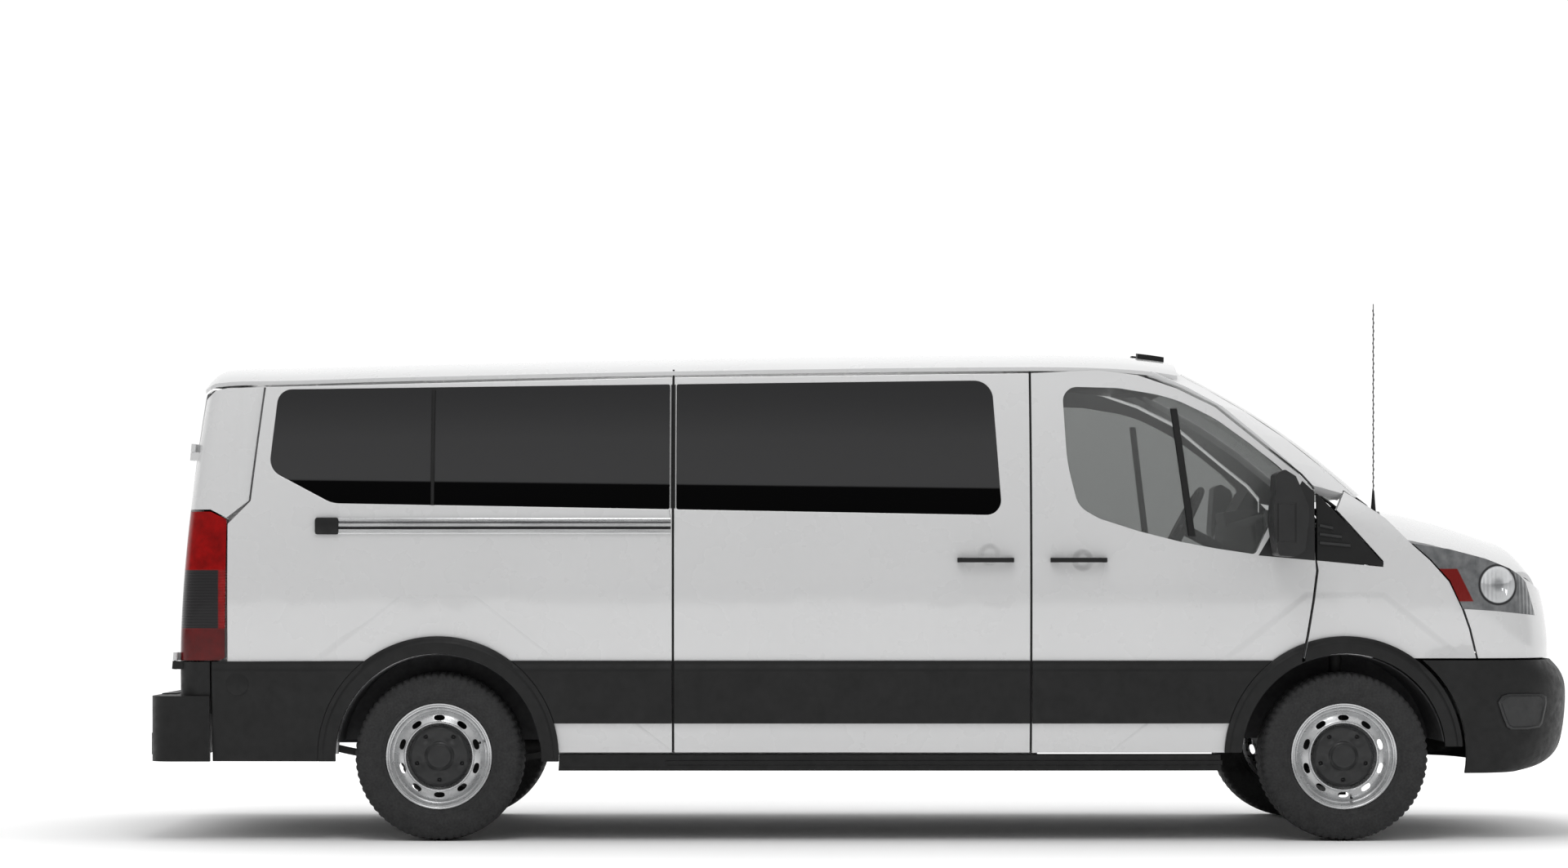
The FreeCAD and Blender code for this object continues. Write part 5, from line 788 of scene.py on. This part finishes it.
# Seats: each one is a padded form, rounded from the shape that the frame holds for it.
SEAT_VOXEL = 0.018
SEAT_RELAX_ROUNDS = 9
SEAT_CROWN = 0.0025
SEAT_FOLD = 0.0015
SEAT_FOLD_RATES = (9, 17, 21)


def islands(name):
    """Corners and faces of each separate solid of a node."""
    work = bmesh.new()
    work.from_mesh(frame["nodes"][name].data)
    bmesh.ops.remove_doubles(work, verts=work.verts, dist=0.00003)
    work.verts.index_update()
    seen = set()
    found = []
    for start in work.verts:
        if start.index in seen:
            continue
        queue = [start]
        seen.add(start.index)
        group = []
        while queue:
            vert = queue.pop()
            group.append(vert)
            for edge in vert.link_edges:
                other = edge.other_vert(vert)
                if other.index not in seen:
                    seen.add(other.index)
                    queue.append(other)
        order = {vert.index: place for place, vert in enumerate(group)}
        faces = {face.index: [order[corner.index] for corner in face.verts]
                 for vert in group for face in vert.link_faces}
        found.append(([vert.co.copy() for vert in group], list(faces.values())))
    work.free()
    return found


def padded_data(name, points, faces):
    """A soft form: the solid is remeshed, relaxed and crowned between its edges."""
    rough = bpy.data.meshes.new(name)
    rough.from_pydata([tuple(p) for p in points], [], faces)
    rough.update()
    made = bpy.data.objects.new(name, rough)
    bpy.context.scene.collection.objects.link(made)
    remesh = made.modifiers.new("even_mesh", "REMESH")
    remesh.mode = "VOXEL"
    remesh.voxel_size = SEAT_VOXEL
    relax = made.modifiers.new("relax", "SMOOTH")
    relax.factor = 0.5
    relax.iterations = SEAT_RELAX_ROUNDS
    soft = bpy.data.meshes.new_from_object(made.evaluated_get(bpy.context.evaluated_depsgraph_get()))
    bpy.data.objects.remove(made)
    for vert in soft.vertices:
        lengthwise = vert.co.z * SEAT_FOLD_RATES[2] + vert.co.x * SEAT_FOLD_RATES[0]
        fold = math.sin(lengthwise) * math.sin(vert.co.y * SEAT_FOLD_RATES[1])
        vert.co += vert.normal * (SEAT_CROWN + SEAT_FOLD * fold)
    soft.shade_smooth()
    soft.materials.clear()
    soft.materials.append(CLOTH)
    return soft


def seats(node_name, label):
    known = {}
    for index, (points, faces) in enumerate(islands(node_name)):
        low = Vector([min(p[axis] for p in points) for axis in range(3)])
        high = Vector([max(p[axis] for p in points) for axis in range(3)])
        key = tuple(round(value, 3) for value in high - low)
        if key not in known:
            known[key] = padded_data(label, [p - low for p in points], faces)
        made = bpy.data.objects.new("%s_%02d" % (label, index + 1), known[key])
        bpy.context.scene.collection.objects.link(made)
        made.location = low
        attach(made, "van_body")
        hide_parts(node_name)


seats("bench_seats", "bench_seat")
seats("front_seats", "front_seat")


# Trim on the body side. A strip's flat top takes this share of its width.
FLAT_SHARE = 0.8


def side_strip(side, places, half, stand, rise):
    """A raised strip along a line of the side view, with chamfered edges."""
    def section(index):
        return [Vector((0, 0, -half)), Vector((0, side * rise, -half * FLAT_SHARE)),
                Vector((0, side * rise, half * FLAT_SHARE)), Vector((0, 0, half)),
                Vector((0, -side * rise, half)), Vector((0, -side * rise, -half))]
    path = [Vector((x, side * (side_reach(x, z) + stand), z)) for x, z in places]
    return sweep(path, section)


def line_places(x0, z0, x1, z1, count=8):
    return [(x0 + (x1 - x0) * step / (count - 1),
             z0 + (z1 - z0) * step / (count - 1)) for step in range(count)]


def upright_strip(side, x0, z0, x1, z1, half, stand, rise, count=8):
    """A raised bar that runs up the side view."""
    def section(index):
        return [Vector((-half, 0, 0)), Vector((-half * FLAT_SHARE, side * rise, 0)),
                Vector((half * FLAT_SHARE, side * rise, 0)), Vector((half, 0, 0)),
                Vector((half, -side * rise, 0)), Vector((-half, -side * rise, 0))]
    path = [Vector((x, side * (side_reach(x, z) + stand), z)) for x, z in line_places(x0, z0, x1, z1, count)]
    return sweep(path, section)


# The rail's section goes out from the panel and up, for a rail of this height.
RAIL_SECTION = ((-0.004, -0.031), (0.010, -0.031), (0.012, -0.028), (0.012, -0.013), (0.006, -0.010),
                (0.006, -0.004), (0.012, -0.002), (0.012, 0.010), (0.006, 0.013), (0.006, 0.018),
                (0.012, 0.021), (0.012, 0.029), (0.010, 0.031), (-0.004, 0.031))
RAIL_SECTION_HEIGHT = 0.064
RAIL_STEPS = 15
RAIL_SMOOTH_ANGLE = 20.0
RAIL_GROOVE_SHADE_SHARES = ((0.30, 0.46), (0.70, 0.76))
RAIL_GROOVE_SHADE_EDGE = 0.0015
CAP_LENGTH = 0.098
CAP_STAND = 0.0165
CAP_HEIGHT_SHARE = 1.06
CAP_PLACE_SHARES = (0, 0.03, 0.1, 0.9, 0.97, 1)
CAP_SIZE_SHARES = (0.80, 0.93, 1.0, 1.0, 0.93, 0.80)


def rail():
    """Grooved bright rail of the sliding door, with a black cap at its rear end."""
    low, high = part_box("door_rail")
    middle = (low.z + high.z) / 2
    scale = (high.z - low.z) / RAIL_SECTION_HEIGHT
    path = [Vector((low.x + (high.x - low.x) * step / RAIL_STEPS, 0, middle))
            for step in range(RAIL_STEPS + 1)]

    def section(index):
        reach = side_reach(path[index].x, middle)
        return [Vector((0, -(reach + out), tall * scale)) for out, tall in RAIL_SECTION]

    points, faces = sweep(path, section)
    make_piece("door_rail_grooved", points, faces, BRIGHT, "van_body", ("door_rail",),
               RAIL_SMOOTH_ANGLE)
    cap_steps = [Vector((low.x + CAP_LENGTH * share, 0, middle)) for share in CAP_PLACE_SHARES]

    def cap_section(index):
        reach = side_reach(cap_steps[index].x, middle)
        tall = (high.z - low.z) / 2 * CAP_HEIGHT_SHARE * CAP_SIZE_SHARES[index]
        out = CAP_STAND * CAP_SIZE_SHARES[index]
        return [Vector((0, -reach, -tall)), Vector((0, -reach - out * FLAT_SHARE, -tall)),
                Vector((0, -reach - out, -tall * FLAT_SHARE)), Vector((0, -reach - out, tall * FLAT_SHARE)),
                Vector((0, -reach - out * FLAT_SHARE, tall)), Vector((0, -reach, tall))]

    points, faces = sweep(cap_steps, cap_section)
    make_piece("door_rail_end_cap", points, faces, BLACK, "van_body")


rail()


def shade_rail_grooves():
    """Painted shade: dark lines in the rail's grooves."""
    low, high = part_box("door_rail")
    tall = high.z - low.z
    nodes, links, axes = place_axes(BRIGHT)
    for start, end in RAIL_GROOVE_SHADE_SHARES:
        mask = band_mask(nodes, links, axes["Z"], low.z + tall * start, low.z + tall * end, RAIL_GROOVE_SHADE_EDGE)
        # Painted shade, darkening the bright metal inside each groove.
        tint_part(BRIGHT, mask, (0.05, 0.05, 0.052))


shade_rail_grooves()


# Strips on the side: half width, stand off the panel and rise.
SILL_RIB = (0.010, 0.004, 0.006)
SILL_RIB_ENDS = (-0.84, 0.325, 1.46, 0.325)
SILL_RIB_POINTS = 14
LOUVRE = (0.0065, 0.0035, 0.0035)
LOUVRE_START = 1.862
LOUVRE_END = 1.990
LOUVRE_LEVEL = 1.235
LOUVRE_PITCH = 0.036
LOUVRE_FALL = 0.012
LOUVRE_COUNT = 3
LOUVRE_POINTS = 5
SEAL = (0.0042, -0.010, 0.002)
SEAL_HEIGHTS = (0.375, 1.955)
SEAL_POINTS = 16
SLIDER_SEAM = -0.8115
DOOR_SEAM = 0.6675
QUARTER_BAR = (0.0075, -0.001, 0.003)
QUARTER_BAR_ENDS = (-1.806, 1.392, -1.806, 1.868)
WINDOW_BAR = (0.0145, -0.004, 0.0045)
WINDOW_BAR_ENDS = (1.331, 1.262, 1.262, 1.792)
WINDOW_BAR_POINTS = 10


def black_piece(name, points, faces, finish_used=BLACK, body="van_body"):
    make_piece(name, points, faces, finish_used, body)


def louvre(side, step):
    """One of the long slots in the sail ahead of the mirror, each shorter than the one below."""
    level = LOUVRE_LEVEL + LOUVRE_PITCH * step
    end = LOUVRE_END - LOUVRE_PITCH * step
    places = line_places(LOUVRE_START, level, end, level - LOUVRE_FALL, LOUVRE_POINTS)
    return side_strip(side, places, *LOUVRE)


def door_seal(side, seam):
    return upright_strip(side, seam, SEAL_HEIGHTS[0], seam, SEAL_HEIGHTS[1], *SEAL, SEAL_POINTS)


def trim():
    ribs = [side_strip(side, line_places(*SILL_RIB_ENDS, SILL_RIB_POINTS), *SILL_RIB) for side in SIDES]
    black_piece("sill_ribs", *merged(ribs))
    slots = [louvre(side, step) for side in SIDES for step in range(LOUVRE_COUNT)]
    black_piece("sail_louvres", *merged(slots), CAP_BLACK)
    seals = [door_seal(side, seam) for side, seam in ((-1, SLIDER_SEAM), (-1, DOOR_SEAM), (1, DOOR_SEAM))]
    black_piece("door_seals", *merged(seals))
    black_piece("quarter_window_bar", *merged([upright_strip(-1, *QUARTER_BAR_ENDS, *QUARTER_BAR)]))
    for side in SIDES:
        points, faces = upright_strip(side, *WINDOW_BAR_ENDS, *WINDOW_BAR, WINDOW_BAR_POINTS)
        name = SIDE_NAMES[side]
        black_piece("front_window_bar_" + name, points, faces, BLACK, "front_door_" + name)


trim()


# The mirror's cover is a plate let into its shell, with a fine groove round it.
MIRROR_COVER = (1.6915, 1.3135, 0.036, 0.078)
MIRROR_GROOVE = 0.004
MIRROR_SHELL = finish("mirror_shell", (0.010, 0.0102, 0.0105), (0.017, 0.0172, 0.0175), (0.40, 0.58), 9.0, 0,
                      0.35, 900.0, specular=0.4)


def cover_groove(nodes, links, coords, axes):
    shifted = [math_node(nodes, links, "SUBTRACT", axes[axis], MIRROR_COVER[place])
               for place, axis in enumerate(("X", "Z"))]
    across, along = [math_node(nodes, links, "ABSOLUTE", value) for value in shifted]
    gap = math_node(nodes, links, "MAXIMUM", math_node(nodes, links, "SUBTRACT", across, MIRROR_COVER[2]),
                    math_node(nodes, links, "SUBTRACT", along, MIRROR_COVER[3]))
    near = math_node(nodes, links, "ABSOLUTE", gap)
    return ease_node(nodes, links, near, 0.0, MIRROR_GROOVE, -MIRROR_GROOVE, 0.0)


add_relief(MIRROR_SHELL, cover_groove)
for side_name in SIDE_NAMES.values():
    shell_mesh = frame["nodes"]["mirror_" + side_name].data
    shell_mesh.materials.clear()
    shell_mesh.materials.append(MIRROR_SHELL)

FOG_OUTLINE = ((2.604, 0.574), (2.622, 0.600), (2.648, 0.609), (2.730, 0.609), (2.800, 0.607), (2.822, 0.596),
               (2.824, 0.570), (2.815, 0.530), (2.803, 0.482), (2.790, 0.467), (2.740, 0.461), (2.665, 0.460),
               (2.645, 0.470), (2.625, 0.515))


# Each ring of the recess: its size as a share of the outline, and its stand off the bumper.
FOG_RING_SHARES = (1.0, 0.99, 0.90, 0.84, 0.40)
FOG_RING_STANDS = (0.001, 0.008, 0.010, 0.0035, 0.003)


def fog_bezels():
    parts = []
    for side in SIDES:
        middle = Vector((sum(p[0] for p in FOG_OUTLINE), sum(p[1] for p in FOG_OUTLINE))) / len(FOG_OUTLINE)
        rings = []
        for share, stand in zip(FOG_RING_SHARES, FOG_RING_STANDS):
            places = [middle + (Vector(place) - middle) * share for place in FOG_OUTLINE]
            rings.append([wrap_point(side, place.x, place.y, FRONT_TIP, stand) for place in places])
        points = [p for ring in rings for p in ring]
        count = len(FOG_OUTLINE)
        faces = ring_faces(5, count, False)
        faces.append(tuple(range(4 * count, 5 * count)))
        if side < 0:
            faces = [tuple(reversed(face)) for face in faces]
        parts.append((points, faces))
    points, faces = merged(parts)
    make_piece("fog_bezels", points, faces, CAP_BLACK, "van_body")


fog_bezels()

# The aerial's wire winds round the mast.
AERIAL_PITCH = 0.034
AERIAL_WIRE = 0.0013
AERIAL_WIND = 0.0032
AERIAL_FOOT = 0.13
AERIAL_END = 0.02
AERIAL_TURN_STEPS = 10


def aerial_wire():
    low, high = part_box("aerial")
    x = (low.x + high.x) / 2
    y = (low.y + high.y) / 2
    bottom = low.z + AERIAL_FOOT
    count = int((high.z - AERIAL_END - bottom) / AERIAL_PITCH * AERIAL_TURN_STEPS)
    path = []
    for step in range(count):
        turn = math.tau * step / AERIAL_TURN_STEPS
        path.append(Vector((x + AERIAL_WIND * math.cos(turn), y + AERIAL_WIND * math.sin(turn),
                            bottom + AERIAL_PITCH * step / AERIAL_TURN_STEPS)))
    points, faces = round_tube(path, AERIAL_WIRE, 5)
    make_piece("aerial_wire", points, faces, BLACK, "van_body")


aerial_wire()


# The right wiper's points and thicknesses. The left one is the same, moved across.
WIPER_SHIFT = 0.80
WIPER_ARM = ((2.098, -0.74, 1.372), (2.085, -0.73, 1.392), (2.060, -0.66, 1.425), (2.030, -0.52, 1.462),
             (2.015, -0.40, 1.482))
WIPER_ARM_RADII = (0.013, 0.011, 0.007, 0.006, 0.005)
WIPER_BLADE = ((2.000, -0.64, 1.478), (2.018, -0.42, 1.492), (2.028, -0.20, 1.498))
WIPER_BLADE_RADIUS = 0.006
WIPER_SIDES = 8


def wipers():
    """Arms and blades at rest along the foot of the windscreen."""
    parts = []
    for shift in (0.0, WIPER_SHIFT):
        move = Vector((0, shift, 0))
        arm = [Vector(place) + move for place in WIPER_ARM]
        blade = [Vector(place) + move for place in WIPER_BLADE]
        parts.append(round_tube(arm, list(WIPER_ARM_RADII), WIPER_SIDES))
        parts.append(round_tube(blade, WIPER_BLADE_RADIUS, WIPER_SIDES))
    black_piece("wipers", *merged(parts))


wipers()

# Stops and caps at the rear: places, then the depth and radius of each ring.
STOP_PLACE = (0.128, 0.62, 0.670)
STOP_DEPTHS = (0.0, 0.022, 0.026)
STOP_RADII = (0.030, 0.030, 0.024)
STOP_SIDES = 20
BUMPER_CAP_PLACE = (-2.612, 0.651)
BUMPER_CAP_DEPTHS = (-0.004, 0.003, 0.005)
BUMPER_CAP_RADII = (0.046, 0.046, 0.041)
BUMPER_CAP_SIDES = 28


def rear_fittings():
    """Rubber stops at the rear corners, and the round caps of the rear bumper."""
    stops = []
    caps = []
    for side in SIDES:
        x, z = BUMPER_CAP_PLACE
        reach = side_reach(x, z) + CLADDING_STAND
        stop = [Vector((REAR_TIP + STOP_PLACE[0] - depth, side * STOP_PLACE[1], STOP_PLACE[2]))
                for depth in STOP_DEPTHS]
        cap = [Vector((x, side * (reach + depth), z)) for depth in BUMPER_CAP_DEPTHS]
        stops.append(round_tube(stop, list(STOP_RADII), STOP_SIDES))
        caps.append(round_tube(cap, list(BUMPER_CAP_RADII), BUMPER_CAP_SIDES))
    black_piece("rear_stops_and_caps", *merged(stops + caps))


rear_fittings()


# Floor, light and camera. Away from the van the floor glows a little, up to the white of the sky behind.
FLOOR_REACH = 60.0
GLOW_RADII = (1.6, 4.2)
GLOW = 0.30
GLOW_LENGTH_SHARE = 0.62
AIM = (0, 0, 0.8)
LAMPS = (("key_light", (-1.0, -7.0, 11.0), 4.0, 210.0), ("top_light", (0.0, 0.5, 9.0), 5.0, 260.0))


def studio():
    floor_mesh = bpy.data.meshes.new("floor")
    corners = [(x * FLOOR_REACH, y * FLOOR_REACH, 0) for x, y in ((-1, -1), (1, -1), (1, 1), (-1, 1))]
    floor_mesh.from_pydata(corners, [], [(0, 1, 2, 3)])
    floor = bpy.data.objects.new("floor", floor_mesh)
    bpy.context.scene.collection.objects.link(floor)
    pale = finish("pale_floor", (0.95, 0.95, 0.95), (0.97, 0.97, 0.97), (0.85, 0.95), 0.6, 0, 0.02, 40.0,
                  specular=0.1)
    floor_mesh.materials.append(pale)
    nodes, links, axes = place_axes(pale)
    across = math_node(nodes, links, "MULTIPLY", axes["X"], GLOW_LENGTH_SHARE)
    away = math_node(nodes, links, "SQRT", math_node(nodes, links, "MULTIPLY_ADD", axes["Y"], axes["Y"],
                                                     math_node(nodes, links, "MULTIPLY", across, across)))
    shader = nodes["Principled BSDF"]
    shader.inputs["Emission Color"].default_value = (1, 1, 1, 1)
    links.new(ease_node(nodes, links, away, *GLOW_RADII, 0.0, GLOW), shader.inputs["Emission Strength"])
    world = bpy.data.worlds.new("studio")
    bpy.context.scene.world = world
    world.use_nodes = True
    nodes = world.node_tree.nodes
    links = world.node_tree.links
    coords = nodes.new("ShaderNodeTexCoord")
    split = nodes.new("ShaderNodeSeparateXYZ")
    links.new(coords.outputs["Generated"], split.inputs["Vector"])
    behind = ease_node(nodes, links, split.outputs["Y"], 0.05, 0.45, 0.0, 1.0)
    above = ease_node(nodes, links, split.outputs["Z"], 0.05, 0.75, 0.26, 0.86)
    back = ease_node(nodes, links, split.outputs["Z"], 0.5, 0.95, 1.04, 0.74)
    near_part = math_node(nodes, links, "MULTIPLY", math_node(nodes, links, "SUBTRACT", 1.0, behind), above)
    sky = math_node(nodes, links, "MULTIPLY_ADD", behind, back, near_part)
    shade = nodes.new("ShaderNodeCombineColor")
    for label in ("Red", "Green", "Blue"):
        links.new(sky, shade.inputs[label])
    links.new(shade.outputs["Color"], nodes["Background"].inputs["Color"])
    nodes["Background"].inputs["Strength"].default_value = 1.0
    bpy.context.scene.view_settings.view_transform = "Standard"
    for name, place, size, power in LAMPS:
        light = bpy.data.lights.new(name, "AREA")
        light.shape = "SQUARE"
        light.size = size
        light.energy = power
        lamp = bpy.data.objects.new(name, light)
        lamp.location = place
        lamp.rotation_mode = "QUATERNION"
        lamp.rotation_quaternion = (Vector(AIM) - Vector(place)).to_track_quat("-Z", "Y")
        bpy.context.scene.collection.objects.link(lamp)


# The camera stands level beside the van. Its lens and shift come from the photo's picture width and horizon.
CAMERA_PLACE = (-0.353, -16.95, 1.055)
FOCAL_PIXELS = 4726.7
PICTURE_WIDTH = 1920
PICTURE_HEIGHT = 1063
HORIZON_PIXEL = 718


def camera():
    data = bpy.data.cameras.new("camera")
    data.sensor_width = 36.0
    data.lens = FOCAL_PIXELS / PICTURE_WIDTH * data.sensor_width
    data.shift_y = (HORIZON_PIXEL - PICTURE_HEIGHT / 2) / PICTURE_WIDTH
    data.clip_end = 200.0
    made = bpy.data.objects.new("camera", data)
    made.location = CAMERA_PLACE
    made.rotation_euler = (math.pi / 2, 0, 0)
    bpy.context.scene.collection.objects.link(made)
    bpy.context.scene.camera = made


studio()
camera()
